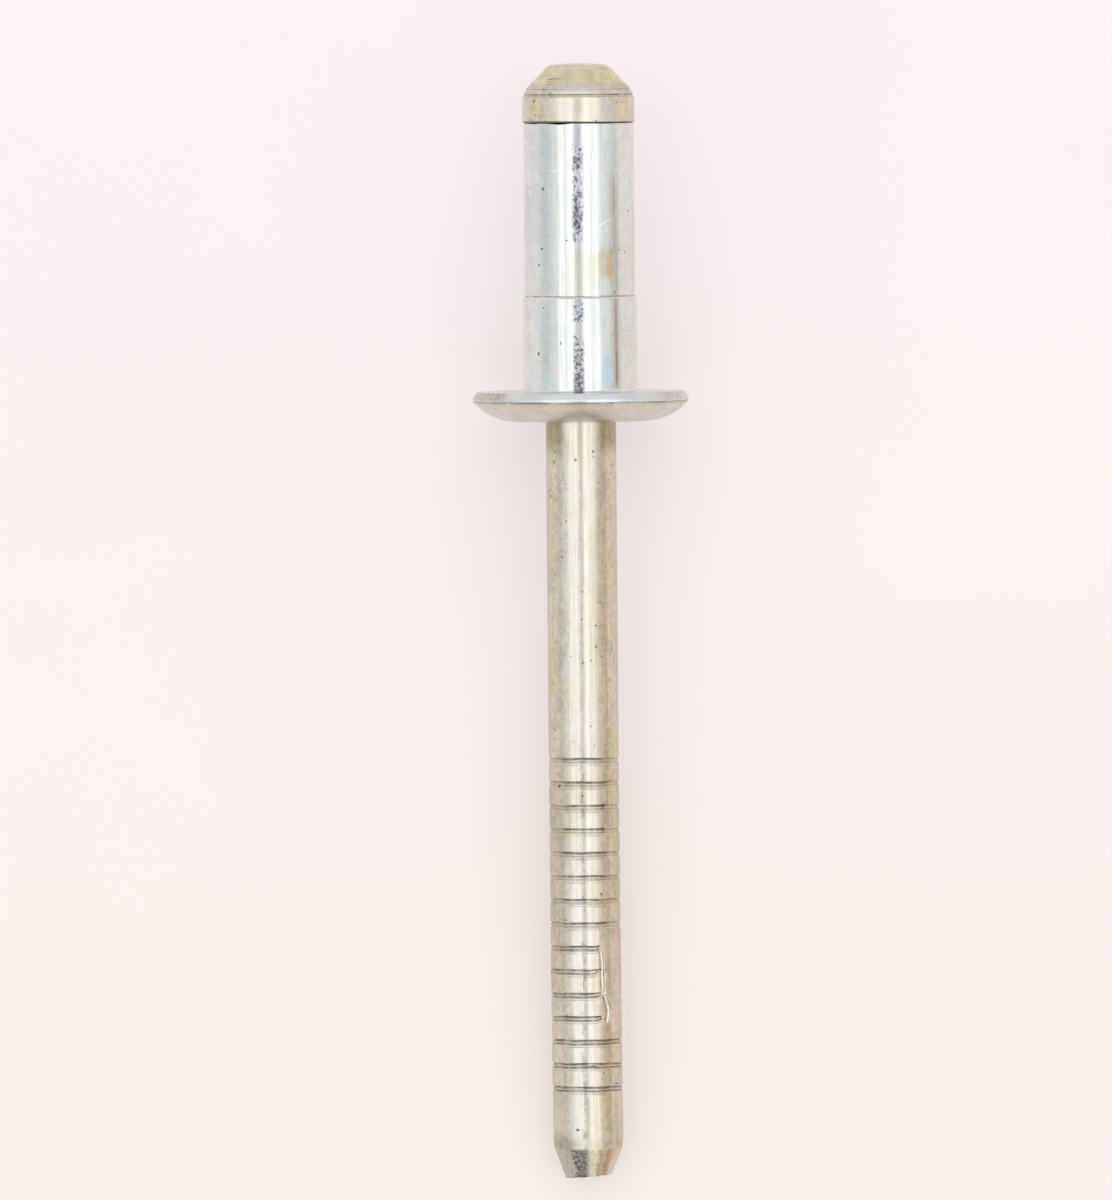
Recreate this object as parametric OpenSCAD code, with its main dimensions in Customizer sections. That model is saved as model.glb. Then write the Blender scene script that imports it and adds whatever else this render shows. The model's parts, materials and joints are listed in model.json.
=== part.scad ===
// Structural blind rivet before setting: a flanged sleeve on its grooved mandrel.
// It lies on the rim of its flange and on the tail of its stem, with the head raised.
// Stations along the rivet are measured from the flange's seating face,
// positive towards the mandrel's head and negative towards the tail.

/* [Sleeve] */
// Outside diameter of the sleeve towards its blind end
sleeve_d = 6.32; // [6.0:0.02:6.4]
// Length of the sleeve from the seating face to its blind end
sleeve_len = 15.36; // [9:0.1:30]
// Outside diameter of the thicker stretch next to the flange
collar_d = 6.5; // [6.42:0.02:7]
// Length of the thicker stretch
collar_len = 5.42; // [2:0.1:8]
// Length of the bevel between the two diameters
step_bevel = 0.09; // [0.05:0.01:0.3]
// Rounding of the sleeve's outer edge at its blind end
sleeve_edge = 0.1; // [0.05:0.01:0.3]
// Fillet between the sleeve and the flange
root_fillet = 0.12; // [0.05:0.01:0.4]

/* [Flange] */
// Diameter of the flange
flange_d = 12.35; // [10:0.05:16]
// Thickness of the flange in the middle
flange_t = 1.7; // [1.3:0.05:2.5]
// Height of the flange's upright rim
rim_t = 0.56; // [0.4:0.01:0.9]
// Rounding of the rim's edge at the seating face
rim_edge = 0.3; // [0.1:0.01:0.35]
// Diameter of the flat in the middle of the domed face
flange_flat_d = 7.4; // [5.5:0.1:8]

/* [Mandrel head] */
// Diameter of the head's band
head_d = 6.42; // [6.0:0.02:6.48]
// Height of the band that bears on the sleeve
band_h = 1.49; // [0.8:0.01:3]
// Rounding of the band's edge on the sleeve
band_edge = 0.09; // [0.05:0.01:0.3]
// Depth of the step from the band in to the shoulder
shoulder_step = 0.06; // [0.03:0.01:0.2]
// Height of the shoulder
shoulder_h = 0.38; // [0.1:0.01:0.8]
// Amount by which the shoulder draws in towards the nose
shoulder_draw = 0.1; // [0.05:0.01:0.3]
// Half angle of the nose cone
nose_angle = 42.5; // [35:0.5:50]
// Height of the nose above the shoulder
nose_h = 1.53; // [1.2:0.01:1.7]
// Radius of the slight dome on the end of the nose
nose_dome = 14; // [10:1:40]
// Height below the nose's top at which its edge begins to be broken
nose_bevel = 0.16; // [0.1:0.01:0.4]
// Half angle of the broken edge
nose_bevel_angle = 63; // [55:1:65]

/* [Mandrel stem] */
// Diameter of the stem
stem_d = 4.02; // [3.4:0.02:4.3]
// Length of the stem beyond the flange
stem_len = 43.25; // [36:0.1:60]
// Length of the tapered tail
taper_len = 1.62; // [0.8:0.05:3]
// Diameter of the tail's end face
tail_d = 2.66; // [2:0.02:3]
// Radius of the crowning that leads into the taper
crown_r = 5.2; // [4:0.1:8]
// Length of the crowning
crown_len = 0.86; // [0.6:0.02:1.2]
// Lean of the sheared end face
tail_slant = 4; // [0:0.5:8]

/* [Pulling grooves] */
// Number of grooves
groove_count = 15; // [4:1:15]
// Distance from one groove to the next
groove_pitch = 1.343; // [1.1:0.001:1.36]
// Distance from the upper edge of the last groove to the crowning of the tail
groove_end = 2.77; // [1.5:0.01:6]
// Width of a groove at the stem's surface
groove_w = 0.46; // [0.3:0.01:0.7]
// Depth of a groove
groove_depth = 0.08; // [0.04:0.01:0.14]
// Width of the lip that rolling the groove raised on its tail side
lip_w = 0.16; // [0.1:0.01:0.25]
// Height of the lip
lip_h = 0.015; // [0.01:0.005:0.04]
// First groove that stops short of the plain strip
strip_first = 9; // [1:1:15]
// Last groove that stops short of the plain strip
strip_last = 12; // [1:1:15]
// Direction in which the plain strip begins, counted round the stem
strip_from = -62; // [-180:1:180]
// Width of the plain strip, as an angle round the stem
strip_angle = 90; // [30:1:180]

/* [Neck in the flange] */
// Distance from the flange's domed face to the neck that the flange is squeezed into
neck_at = 0.15; // [0.05:0.01:0.3]
// Depth of the neck
neck_depth = 0.21; // [0.1:0.01:0.3]
// Width of the neck's floor
neck_floor = 0.45; // [0.2:0.05:0.5]

/* [Break notch] */
// Distance from the seating face to the notch in which the stem breaks
notch_at = 4.6; // [2:0.1:8]
// Diameter of the stem in the notch
notch_d = 3.1; // [2.4:0.05:3.2]
// Width of the notch's floor
notch_floor = 0.2; // [0.1:0.05:0.5]

/* [Fits] */
// Clearance all round between the stem and the sleeve's bore
bore_clearance = 0.06; // [0.02:0.01:0.15]
// Clearance all round where the flange is squeezed into the neck
throat_clearance = 0.01; // [0.005:0.005:0.02]

/* [Hidden] */
$fn = 96;

sleeve_r = sleeve_d / 2;
collar_r = collar_d / 2;
flange_r = flange_d / 2;
flat_r = flange_flat_d / 2;
head_r = head_d / 2;
stem_r = stem_d / 2;
tail_r = tail_d / 2;
notch_r = notch_d / 2;
bore_r = stem_r + bore_clearance;

// Stations on the mandrel
band_top = sleeve_len + band_h;
shoulder_top = band_top + shoulder_h;
nose_top = shoulder_top + nose_h;
tail_end = -flange_t - stem_len;
taper_top = tail_end + taper_len;
crown_top = taper_top + crown_len;
first_groove = crown_top + groove_end + (groove_count - 1) * groove_pitch;

// The neck, whose walls lean at 45 degrees, and the flange's throat, which follows it
neck_r = stem_r - neck_depth;
neck_foot = neck_at - flange_t + neck_depth;
throat_r = neck_r + throat_clearance;
throat_foot = neck_foot + throat_clearance;
throat_top = neck_foot + neck_floor - throat_clearance;
mouth_r = throat_r + throat_foot + flange_t;

// Radii of the arcs that make a groove and its lip
groove_round = (groove_w * groove_w / 4 + groove_depth * groove_depth) / (2 * groove_depth);
lip_round = (lip_w * lip_w / 4 + lip_h * lip_h) / (2 * lip_h);

// The dome's arc leaves the flat smoothly and ends at the foot of the rim
dome_w = flange_r - flat_r;
dome_h = flange_t - rim_t;
dome_r = (dome_w * dome_w + dome_h * dome_h) / (2 * dome_h);

// The crowning's arc leaves the stem smoothly and ends where the taper begins
crown_in = crown_r - sqrt(crown_r * crown_r - crown_len * crown_len);
taper_r = stem_r - crown_in;

// The nose: its shoulder, its cone, its broken edge and the dome that ends it
shoulder_r = head_r - shoulder_step;
cone_r = shoulder_r - shoulder_draw;
bevel_start_r = cone_r - tan(nose_angle) * (nose_h - nose_bevel);
bevel_end_r = bevel_start_r - tan(nose_bevel_angle) * nose_bevel;
dome_centre = nose_top - nose_dome;

// The rest: the foot of the rim and the crowning of the tail touch the ground
rest_run = crown_top + rim_t;
rest_rise = flange_r - (stem_r - crown_r);
rest_reach = norm([rest_run, rest_rise]);
rest_tilt = atan2(rest_rise, -rest_run) - asin(crown_r / rest_reach);
rest_height = flange_r * cos(rest_tilt) + rim_t * sin(rest_tilt);
front_reach = dome_centre * cos(rest_tilt) + nose_dome;
back_reach = tail_end * cos(rest_tilt) - tail_r * sin(rest_tilt);
rest_shift = -(front_reach + back_reach) / 2;

sleeve_colour = [0.80, 0.83, 0.85];
mandrel_colour = [0.80, 0.76, 0.66];

// Margin by which a cutting shape runs past what it cuts
over = 1;
// Amount by which a groove cuts into its lip
lip_cut = 0.02;
// Facets of a large circle of which only a short arc is used
fine = 720;

// Lays a shape that was made upright, with the seating face at zero, in its rest
module at_rest() {
    translate([0, rest_shift, rest_height])
        rotate([rest_tilt - 90, 0, 0])
            children();
}

// A disc's half outline from station a to station b, with its edge rounded at b
module rounded_disc(r, a, b, edge) {
    inward = b > a ? -edge : edge;
    span(0, r - edge, a, b);
    span(0, r, a, b + inward);
    translate([r - edge, b + inward])
        circle(edge);
}

// The rectangle between two radii and two stations
module span(r1, r2, a, b) {
    translate([r1, min(a, b)])
        square([r2 - r1, abs(b - a)]);
}

module flange_outline() {
    rounded_disc(flange_r, -rim_t, 0, rim_edge);
    span(0, flat_r, -flange_t, -rim_t);
    intersection() {
        span(flat_r, flange_r, -flange_t, -rim_t);
        translate([flat_r, dome_r - flange_t])
            circle(dome_r);
    }
}

module barrel_outline() {
    rounded_disc(sleeve_r, -rim_t, sleeve_len, sleeve_edge);
    span(0, collar_r, -rim_t, collar_len - step_bevel);
    polygon([
        [0, collar_len - step_bevel],
        [collar_r, collar_len - step_bevel],
        [sleeve_r, collar_len],
        [0, collar_len]
    ]);
    difference() {
        span(0, collar_r + root_fillet, -rim_t, root_fillet);
        translate([collar_r + root_fillet, root_fillet])
            circle(root_fillet);
    }
}

// The bore, its squeezed throat and the countersink at the domed face
module bore_outline() {
    polygon([
        [0, -flange_t - over],
        [mouth_r + over, -flange_t - over],
        [throat_r, throat_foot],
        [throat_r, throat_top],
        [bore_r, throat_top + bore_r - throat_r],
        [bore_r, sleeve_len + over],
        [0, sleeve_len + over]
    ]);
}

module head_outline() {
    rounded_disc(head_r, band_top, sleeve_len, band_edge);
    intersection() {
        polygon([
            [0, sleeve_len + band_edge],
            [shoulder_r, sleeve_len + band_edge],
            [shoulder_r, band_top],
            [cone_r, shoulder_top],
            [bevel_start_r, nose_top - nose_bevel],
            [bevel_end_r, nose_top],
            [bevel_end_r, nose_top + over],
            [0, nose_top + over]
        ]);
        translate([0, dome_centre])
            circle(nose_dome, $fn = fine);
    }
}

// The stem with its crowned and tapered tail, a little longer than the sheared end
module stem_outline() {
    slope = (taper_r - tail_r) / taper_len;
    foot = tail_end - taper_r * tan(tail_slant);
    intersection() {
        union() {
            span(0, stem_r, crown_top, sleeve_len);
            intersection() {
                span(0, stem_r, foot, crown_top);
                translate([stem_r - crown_r, crown_top])
                    circle(crown_r, $fn = fine);
            }
        }
        polygon([
            [0, foot],
            [tail_r + (foot - tail_end) * slope, foot],
            [stem_r + over, taper_top + (stem_r + over - taper_r) / slope],
            [stem_r + over, sleeve_len + over],
            [0, sleeve_len + over]
        ]);
    }
}

// The cut of a neck in the stem, with a flat floor and walls that lean at 45 degrees
module neck_outline(foot, r, floor_w) {
    run = stem_r + over - r;
    polygon([
        [stem_r + over, foot - run],
        [r, foot],
        [r, foot + floor_w],
        [stem_r + over, foot + floor_w + run]
    ]);
}

// The cut of one groove, with its upper edge at station zero
module groove_outline() {
    translate([stem_r - groove_depth + groove_round, -groove_w / 2])
        circle(groove_round);
}

// The lip on the tail side of that groove
module lip_outline() {
    translate([stem_r + lip_h - lip_round, lip_cut - groove_w - lip_w / 2])
        circle(lip_round);
}

function is_short(i) = i >= strip_first && i <= strip_last;
function groove_station(i) = first_groove - (i - 1) * groove_pitch;

// Outlines for the grooves that run all the way round
module at_full_grooves() {
    for (i = [1 : groove_count])
        if (!is_short(i))
            translate([0, groove_station(i)])
                children();
}

// Rings for the grooves that stop at the plain strip
module at_short_grooves() {
    for (i = [1 : groove_count])
        if (is_short(i))
            translate([0, 0, groove_station(i)])
                rotate([0, 0, strip_from + strip_angle])
                    rotate_extrude(angle = 360 - strip_angle)
                        children();
}

module sheared_end() {
    block = 2 * (stem_r + over);
    translate([0, 0, tail_end])
        rotate([0, -tail_slant, 0])
            translate([-block / 2, -block / 2, -block])
                cube(block);
}

module sleeve() {
    color(sleeve_colour)
        at_rest()
            rotate_extrude()
                difference() {
                    union() {
                        flange_outline();
                        barrel_outline();
                    }
                    bore_outline();
                }
}

module mandrel() {
    color(mandrel_colour)
        at_rest()
            difference() {
                union() {
                    rotate_extrude()
                        difference() {
                            union() {
                                head_outline();
                                stem_outline();
                                at_full_grooves() lip_outline();
                            }
                            at_full_grooves() groove_outline();
                            neck_outline(neck_foot, neck_r, neck_floor);
                            neck_outline(notch_at - notch_floor / 2, notch_r, notch_floor);
                        }
                    at_short_grooves() lip_outline();
                }
                at_short_grooves() groove_outline();
                sheared_end();
            }
}

sleeve();
mandrel();
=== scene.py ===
"""An unset structural blind rivet: a flanged zinc sleeve on its grooved pulling mandrel.

Lengths inside the functions are millimetres. Stations run along the rivet's axis from the
flange's seating face, positive towards the mandrel's head. Turns are degrees round the axis:
0 is the right-hand side, -90 is the side that lies uppermost and 90 the underside.
"""

import json
import math
from types import SimpleNamespace

import bpy
import numpy as np
from bpy.props import FloatProperty, FloatVectorProperty, IntProperty, PointerProperty
from mathutils import Matrix, Vector


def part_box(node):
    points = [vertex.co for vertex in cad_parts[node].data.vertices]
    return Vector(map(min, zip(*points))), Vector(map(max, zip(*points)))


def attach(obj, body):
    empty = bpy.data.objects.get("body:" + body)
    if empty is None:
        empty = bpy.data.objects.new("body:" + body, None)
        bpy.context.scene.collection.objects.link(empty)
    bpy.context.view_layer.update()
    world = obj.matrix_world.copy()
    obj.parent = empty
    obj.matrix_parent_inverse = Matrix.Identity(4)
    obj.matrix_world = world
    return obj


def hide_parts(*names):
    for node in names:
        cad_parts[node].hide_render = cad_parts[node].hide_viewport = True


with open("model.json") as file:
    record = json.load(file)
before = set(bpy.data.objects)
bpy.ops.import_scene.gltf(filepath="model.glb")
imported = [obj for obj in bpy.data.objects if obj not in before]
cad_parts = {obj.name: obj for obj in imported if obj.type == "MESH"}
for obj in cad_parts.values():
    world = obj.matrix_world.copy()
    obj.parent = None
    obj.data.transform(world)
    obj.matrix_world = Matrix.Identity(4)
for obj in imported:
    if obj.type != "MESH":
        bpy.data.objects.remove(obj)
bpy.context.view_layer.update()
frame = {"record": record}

bl_info = {
    "name": "Structural Blind Rivet",
    "version": (1, 0, 0),
    "blender": (4, 5, 0),
    "location": "View3D > Sidebar > Rivet",
    "description": "Makes an unset structural blind rivet and the small studio it lies in",
    "category": "Add Mesh",
}

MM = 1000.0
BODY = "root"

# Edges steeper than this stay sharp, in degrees
SHARP_FROM = 40.0
# Points of an outline nearer than this are one, in mm
SAME_POINT = 1e-6
# The turn of the line that lies uppermost
UPPERMOST = -90.0
# Share of its own plain colour in the floor, as the lens and the metal see it
FLOOR_LIFT = 0.5
# Share of the floor's colour that scatters light, and its level in the mottling
PAPER_SCATTER = 0.945
PAPER_MOTTLE = 0.985
# What the camera sees, in metres from it
CLIP = (0.01, 50.0)


# ---------------------------------------------------------------- the frame

mounts = {mount["name"]: mount for mount in frame["record"]["mounts"]}
axis = Vector(mounts["shank"]["axis"])
shank_middle = Vector(mounts["shank"]["pos_m"])
seat_point = Vector(mounts["seating_face"]["pos_m"])
seat_centre = shank_middle - axis * (shank_middle - seat_point).dot(axis)
across = Vector((1.0, 0.0, 0.0))
depth_way = axis.cross(across)
turn_down = Matrix((across, depth_way, axis)).transposed()

FLANGE_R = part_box("sleeve")[1].x
HEAD_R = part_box("mandrel")[1].x
COLLAR_R = mounts["shank"]["dims"]["r_mm"] / MM
STEM_R = mounts["pulling_stem"]["dims"]["r_mm"] / MM
# The thinner stretch of the sleeve, which no mount or box states
BARREL_R = 0.00316


def lay_down(mesh):
    """Moves a mesh made round its own Z axis to where the rivet lies in the frame."""
    mesh.transform(Matrix.Translation(seat_centre) @ turn_down.to_4x4())


# ---------------------------------------------------------------- sizes and colours


def length(name, text, default):
    """A length, given in metres."""
    return FloatProperty(name=name, description=text, default=default, unit="LENGTH", precision=5)


def angle(name, text, degrees):
    """An angle, given in degrees."""
    turn = math.radians(degrees)
    return FloatProperty(name=name, description=text, default=turn, subtype="ANGLE")


def colour(name, text, default):
    """A colour in red, green and blue."""
    return FloatVectorProperty(
        name=name, description=text, default=default, subtype="COLOR", size=3, min=0.0, max=1.0
    )


def amount(name, text, default, top=1.0):
    """A plain amount from 0 to top."""
    return FloatProperty(name=name, description=text, default=default, min=0.0, max=top)


class SleeveSizes(bpy.types.PropertyGroup):
    """Sizes of the flanged sleeve"""

    barrel_r: length("Barrel radius", "Outside radius towards the blind end", BARREL_R)
    barrel_len: length("Barrel length", "Seating face to blind end", 0.01536)
    collar_r: length("Collar radius", "Outside radius next to the flange", COLLAR_R)
    collar_len: length("Collar length", "Length of the thicker stretch", 0.00542)
    collar_bevel: length("Collar bevel", "Length of the bevel between the radii", 0.00009)
    end_edge: length("End edge", "Rounding of the blind end's outer edge", 0.0001)
    root_fillet: length("Root fillet", "Fillet between sleeve and flange", 0.00012)
    flange_r: length("Flange radius", "Outside radius of the flange", FLANGE_R)
    flange_t: length("Flange thickness", "Thickness in the middle", 0.0017)
    rim_t: length("Rim height", "Height of the upright rim", 0.00056)
    rim_edge: length("Rim chamfer", "Length of the rim's chamfer at the seating face", 0.00033)
    rim_in: length("Chamfer depth", "How far the chamfer comes in at the seating face", 0.00021)
    flat_r: length("Flat radius", "Radius of the flat on the domed side", 0.0037)
    bore_r: length("Bore radius", "Radius of the bore", 0.00207)
    throat_r: length("Throat radius", "Radius of the bore squeezed into the neck", 0.00181)
    throat_at: length("Throat station", "Outer end of the throat", -0.00133)
    throat_len: length("Throat length", "Length of the throat", 0.00043)


class MandrelSizes(bpy.types.PropertyGroup):
    """Sizes of the pulling mandrel"""

    head_r: length("Head radius", "Radius of the head's band", HEAD_R)
    head_foot: length("Head foot", "Station of the band's lower face", 0.01536)
    band_h: length("Band height", "Height of the band", 0.00149)
    band_edge: length("Band edge", "Rounding of the band's edges", 0.00009)
    shoulder_r: length("Shoulder radius", "Radius where the band ends", 0.00315)
    shoulder_h: length("Shoulder height", "Height of the shoulder", 0.00038)
    cone_r: length("Cone radius", "Radius where the nose cone begins", 0.00305)
    nose_h: length("Nose height", "Height of the nose above the shoulder", 0.001526)
    nose_r: length("Nose face radius", "Radius of the face on the nose", 0.0016)
    nose_dome: length("Nose dome", "Radius of the slight dome on the nose", 0.014)
    stem_r: length("Stem radius", "Radius of the stem", STEM_R)
    tail_at: length("Tail station", "Station of the tail's end", -0.04495)
    taper_len: length("Taper length", "Length of the tapered tail", 0.00162)
    tail_r: length("Tail radius", "Radius of the tail's end face", 0.00133)
    crown_len: length("Crowning length", "Length of the crowning before the taper", 0.00086)
    crown_r: length("Crowning radius", "Radius of the crowning", 0.0052)
    tail_slant: angle("Tail slant", "Lean of the sheared end face", 4.0)
    bend: length("Bend", "Sideways bend of the tail", 0.0001)
    bend_from: length("Bend start", "Station at which the bend begins", -0.017)
    groove_at: length("First groove", "Station of the first groove's upper edge", -0.020898)
    groove_pitch: length("Groove pitch", "Distance from groove to groove", 0.001343)
    groove_count: IntProperty(name="Grooves", description="Number of grooves", default=15, min=1)
    groove_depth: length("Groove depth", "Depth of a groove", 0.000075)
    strip_first: IntProperty(name="First short groove", description="Counted from 1", default=9)
    strip_last: IntProperty(name="Last short groove", description="Counted from 1", default=12)
    strip_from: angle("Strip start", "Turn at which the plain strip begins", -62.0)
    strip_to: angle("Strip end", "Turn at which the plain strip ends", 28.0)
    neck_r: length("Neck radius", "Radius of the neck in the flange", 0.0018)
    neck_at: length("Neck station", "Outer end of the neck's floor", -0.00134)
    neck_len: length("Neck length", "Length of the neck's floor", 0.00045)
    notch_r: length("Notch radius", "Radius in the break notch", 0.00155)
    notch_at: length("Notch station", "Middle of the break notch", 0.0046)
    notch_len: length("Notch length", "Length of the notch's floor", 0.0002)


class RivetFinish(bpy.types.PropertyGroup):
    """Colours and gloss of the two zinc finishes and of the floor"""

    bright: colour("Bright zinc", "Bluish zinc of the sleeve", (0.77, 0.785, 0.785))
    bright_rough: amount("Sleeve roughness", "Roughness of the sleeve", 0.12)
    mint: colour("Mint", "Greenish clouds in the bright zinc", (0.68, 0.80, 0.775))
    warm: colour("Warm", "Creamy clouds in the bright zinc", (0.77, 0.76, 0.70))
    slate: colour("Slate", "Greyer clouds in the bright zinc", (0.655, 0.665, 0.68))
    ice: colour("Ice", "Blue patches on the sleeve", (0.62, 0.72, 0.84))
    # Painted reflection of the lens along the sleeve's top
    lens_violet: colour("Violet", "Bluish violet along the sleeve's top", (0.6, 0.59, 0.7))
    rim: colour("Rim", "Grey-blue of the flange's rim", (0.69, 0.73, 0.74))
    dome: colour("Dome", "Pinkish grey of the flange's domed side", (0.715, 0.67, 0.64))
    # Also the painted reflection of the lens along the stem's top
    pit_and_lens_reflection: colour("Pit", "Slate of small pits", (0.13, 0.12, 0.15))
    flank: colour("Flank", "Warm grey along the sleeve's right", (0.66, 0.61, 0.55))
    yellow: colour("Yellow zinc", "Pale yellow passivated zinc of the mandrel", (0.745, 0.71, 0.665))
    yellow_rough: amount("Mandrel roughness", "Roughness of the mandrel", 0.17)
    nose: colour("Nose", "Olive yellow of the mandrel's nose", (0.71, 0.69, 0.45))
    olive: colour("Olive", "Olive-yellow patches", (0.68, 0.66, 0.46))
    pink: colour("Pink", "Pinkish patches", (0.74, 0.64, 0.61))
    mauve: colour("Mauve", "Greyish mauve patches", (0.6, 0.54, 0.52))
    clay: colour("Clay", "Greyish brown of the stem's left side", (0.682, 0.645, 0.582))
    sand: colour("Sand", "Brownish yellow of the stem's right side", (0.7, 0.62, 0.522))
    tan: colour("Tan", "Brown band along the stem", (0.675, 0.535, 0.413))
    stain: colour("Stain", "Orange-brown of stains and old oil", (0.66, 0.48, 0.3))
    oil: colour("Oil", "Darker orange-brown at the tail", (0.5, 0.34, 0.2))
    ash: colour("Ash", "Grey of the tail's left side", (0.46, 0.45, 0.44))
    # Painted highlight on the thin raised edges
    edge_highlight: colour("Raised edge", "Bright thin edges beside the plain strip", (0.86, 0.84, 0.76))
    rust: colour("Rust", "Reddish brown of thin lines", (0.36, 0.22, 0.17))
    # Brown of dirt, also used as painted shade in creases, in the gap below the head and round the
    # stem
    grime: colour("Grime", "Brown of the dirt in grooves", (0.14, 0.115, 0.085))
    near_black: colour("Dirt", "Near-black of pits and lines", (0.06, 0.05, 0.045))
    scratch: colour("Scratch", "Bare metal of scratches", (0.97, 0.97, 0.96))
    scuff: colour("Scuff", "Bare metal of the scuff on the nose", (0.95, 0.95, 0.93))
    floor: colour("Floor", "Pale floor", (0.98, 0.895, 0.91))
    floor_warm: colour("Floor, near end", "The floor's warmer end", (0.968, 0.888, 0.84))


class RivetStudio(bpy.types.PropertyGroup):
    """Camera, floor and levels of light"""

    lens: FloatProperty(name="Lens", description="Focal length", default=480.0, unit="CAMERA")
    distance: length("Camera distance", "From the camera to the rivet", 0.915)
    lean: angle("Camera lean", "Lean of the view from straight down", 3.64)
    roll: angle("Camera roll", "Turn of the picture", -0.487)
    aim_right: length("Aim right", "Picture centre from the seating face", -0.00141)
    aim_up: length("Aim up", "Picture centre from the seating face", -0.01194)
    floor_size: length("Floor size", "Half the width of the floor", 1.5)
    softbox: amount("Softbox level", "Radiance of the two long softboxes", 1.42, 4.0)
    room: amount("Room level", "Radiance of the room beside them", 0.98, 4.0)
    ahead: amount("Far wall", "Share of the level beyond the softboxes' far ends", 0.8, 4.0)
    glow: amount("Horizon level", "Radiance at the floor's edge", 0.92, 4.0)


def in_mm(group):
    """The values of a property group, lengths in millimetres and angles in degrees."""
    values = {}
    for name in group.__annotations__:
        kind = group.bl_rna.properties[name]
        value = getattr(group, name)
        if kind.unit == "LENGTH":
            value = value * MM
        elif kind.subtype == "ANGLE":
            value = math.degrees(value)
        values[name] = value
    return SimpleNamespace(**values)


# ---------------------------------------------------------------- outlines and turned meshes


def ramp(value, low, high):
    """0 below low, 1 above high, smooth between."""
    t = np.clip((value - low) / (high - low), 0.0, 1.0)
    return t * t * (3.0 - 2.0 * t)


def bump(value, middle, half):
    """A smooth hump of height 1 and the given half width."""
    t = np.clip(np.abs(value - middle) / half, 0.0, 1.0)
    return (1.0 - t * t) ** 2


def bumps(turn, rows):
    """Humps round the axis, added up; a row is (turn, half width, height)."""
    return sum(bump(turn, middle, half) * height for middle, half, height in rows)


class Outline:
    """A half section drawn point by point as (station, radius), with the cut into the blank."""

    def __init__(self, station, radius):
        self.stations = []
        self.radii = []
        self.cuts = []
        self.short = []
        self._add(station, radius)

    def line(self, station, radius, steps=1):
        """A straight stretch to a new point."""
        low, inner = self.stations[-1], self.radii[-1]
        for share in np.linspace(0.0, 1.0, steps + 1)[1:]:
            self._add(low + (station - low) * share, inner + (radius - inner) * share)

    def path(self, points):
        """Straight stretches through points given as (station, radius, steps)."""
        for station, radius, steps in points:
            self.line(station, radius, steps)

    def arc(self, station, radius, r, start, end, steps=5):
        """An arc round a centre; 0 degrees points along the axis and 90 away from it."""
        for turn in np.radians(np.linspace(start, end, steps + 1)):
            self._add(station + r * math.cos(turn), radius + r * math.sin(turn))

    def profile(self, points, short):
        """Cuts below the present radius, as (distance back along the stem, depth)."""
        top, radius = self.stations[-1], self.radii[-1]
        for back, depth in points:
            self._add(top - back, radius, depth, short)

    def _add(self, station, radius, cut=0.0, short=0.0):
        """One point more, unless it lies on the last one."""
        if self.stations:
            near = abs(station - self.stations[-1]) + abs(radius - self.radii[-1]) < SAME_POINT
            if near and cut == self.cuts[-1]:
                return
        self.stations.append(station)
        self.radii.append(radius)
        self.cuts.append(cut)
        self.short.append(short)


def turns_round(front_step, back_step, fine=None):
    """Turns of a lathe mesh, finer on the upper side and finest in the span (from, to, step)."""
    front = np.arange(-180.0, 0.0, front_step)
    back = np.arange(0.0, 180.0, back_step)
    turns = np.concatenate((front, back))
    if fine:
        start, end, step = fine
        kept = turns[(turns < start) | (turns > end)]
        turns = np.sort(np.concatenate((kept, np.arange(start, end + step / 2, step))))
    return turns


def turned_mesh(name, outline, turns, shape, closed):
    """A lathe mesh in metres; shape(station, radius, turn, cut, short) moves its points.

    Shape also gives the dirt and painted shade at each point, with painted highlight below 0, kept
    as a point attribute.
    """
    station, turn = np.meshgrid(np.array(outline.stations), turns, indexing="ij")
    radius = np.array(outline.radii)[:, None] + np.zeros_like(turn)
    cut = np.array(outline.cuts)[:, None] + np.zeros_like(turn)
    short = np.array(outline.short)[:, None] + np.zeros_like(turn)
    station, radius, grime = shape(station, radius, turn, cut, short)
    grime = (grime + np.zeros_like(turn)).ravel()
    rows, count = station.shape
    angles = np.radians(turn)
    points = np.stack((radius * np.cos(angles), radius * np.sin(angles), station), -1)
    points = points.reshape(-1, 3) / MM
    faces = []
    for row in range(rows if closed else rows - 1):
        here, below = row * count, (row + 1) % rows * count
        for column in range(count):
            ahead = (column + 1) % count
            faces.append((here + column, below + column, below + ahead, here + ahead))
    if not closed:
        first = len(points)
        ends = ((0.0, 0.0, station[0].mean() / MM), (0.0, 0.0, station[-1].mean() / MM))
        points = np.vstack((points, ends))
        grime = np.append(grime, (0.0, 0.0))
        last = (rows - 1) * count
        for column in range(count):
            ahead = (column + 1) % count
            faces.append((first, column, ahead))
            faces.append((first + 1, last + ahead, last + column))
    mesh = bpy.data.meshes.new(name)
    mesh.from_pydata(points.tolist(), [], faces)
    mesh.polygons.foreach_set("use_smooth", [True] * len(mesh.polygons))
    mesh.set_sharp_from_angle(angle=math.radians(SHARP_FROM))
    mesh.attributes.new("grime", "FLOAT", "POINT").data.foreach_set("value", grime)
    mesh.update()
    piece = bpy.data.objects.new(name, mesh)
    bpy.context.scene.collection.objects.link(piece)
    return piece


def hand_over(piece, material, node):
    """Gives a finished piece its material and its place in the frame."""
    piece.data.materials.append(material)
    lay_down(piece.data)
    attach(piece, BODY)
    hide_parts(node)


# ---------------------------------------------------------------- the sleeve

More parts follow.
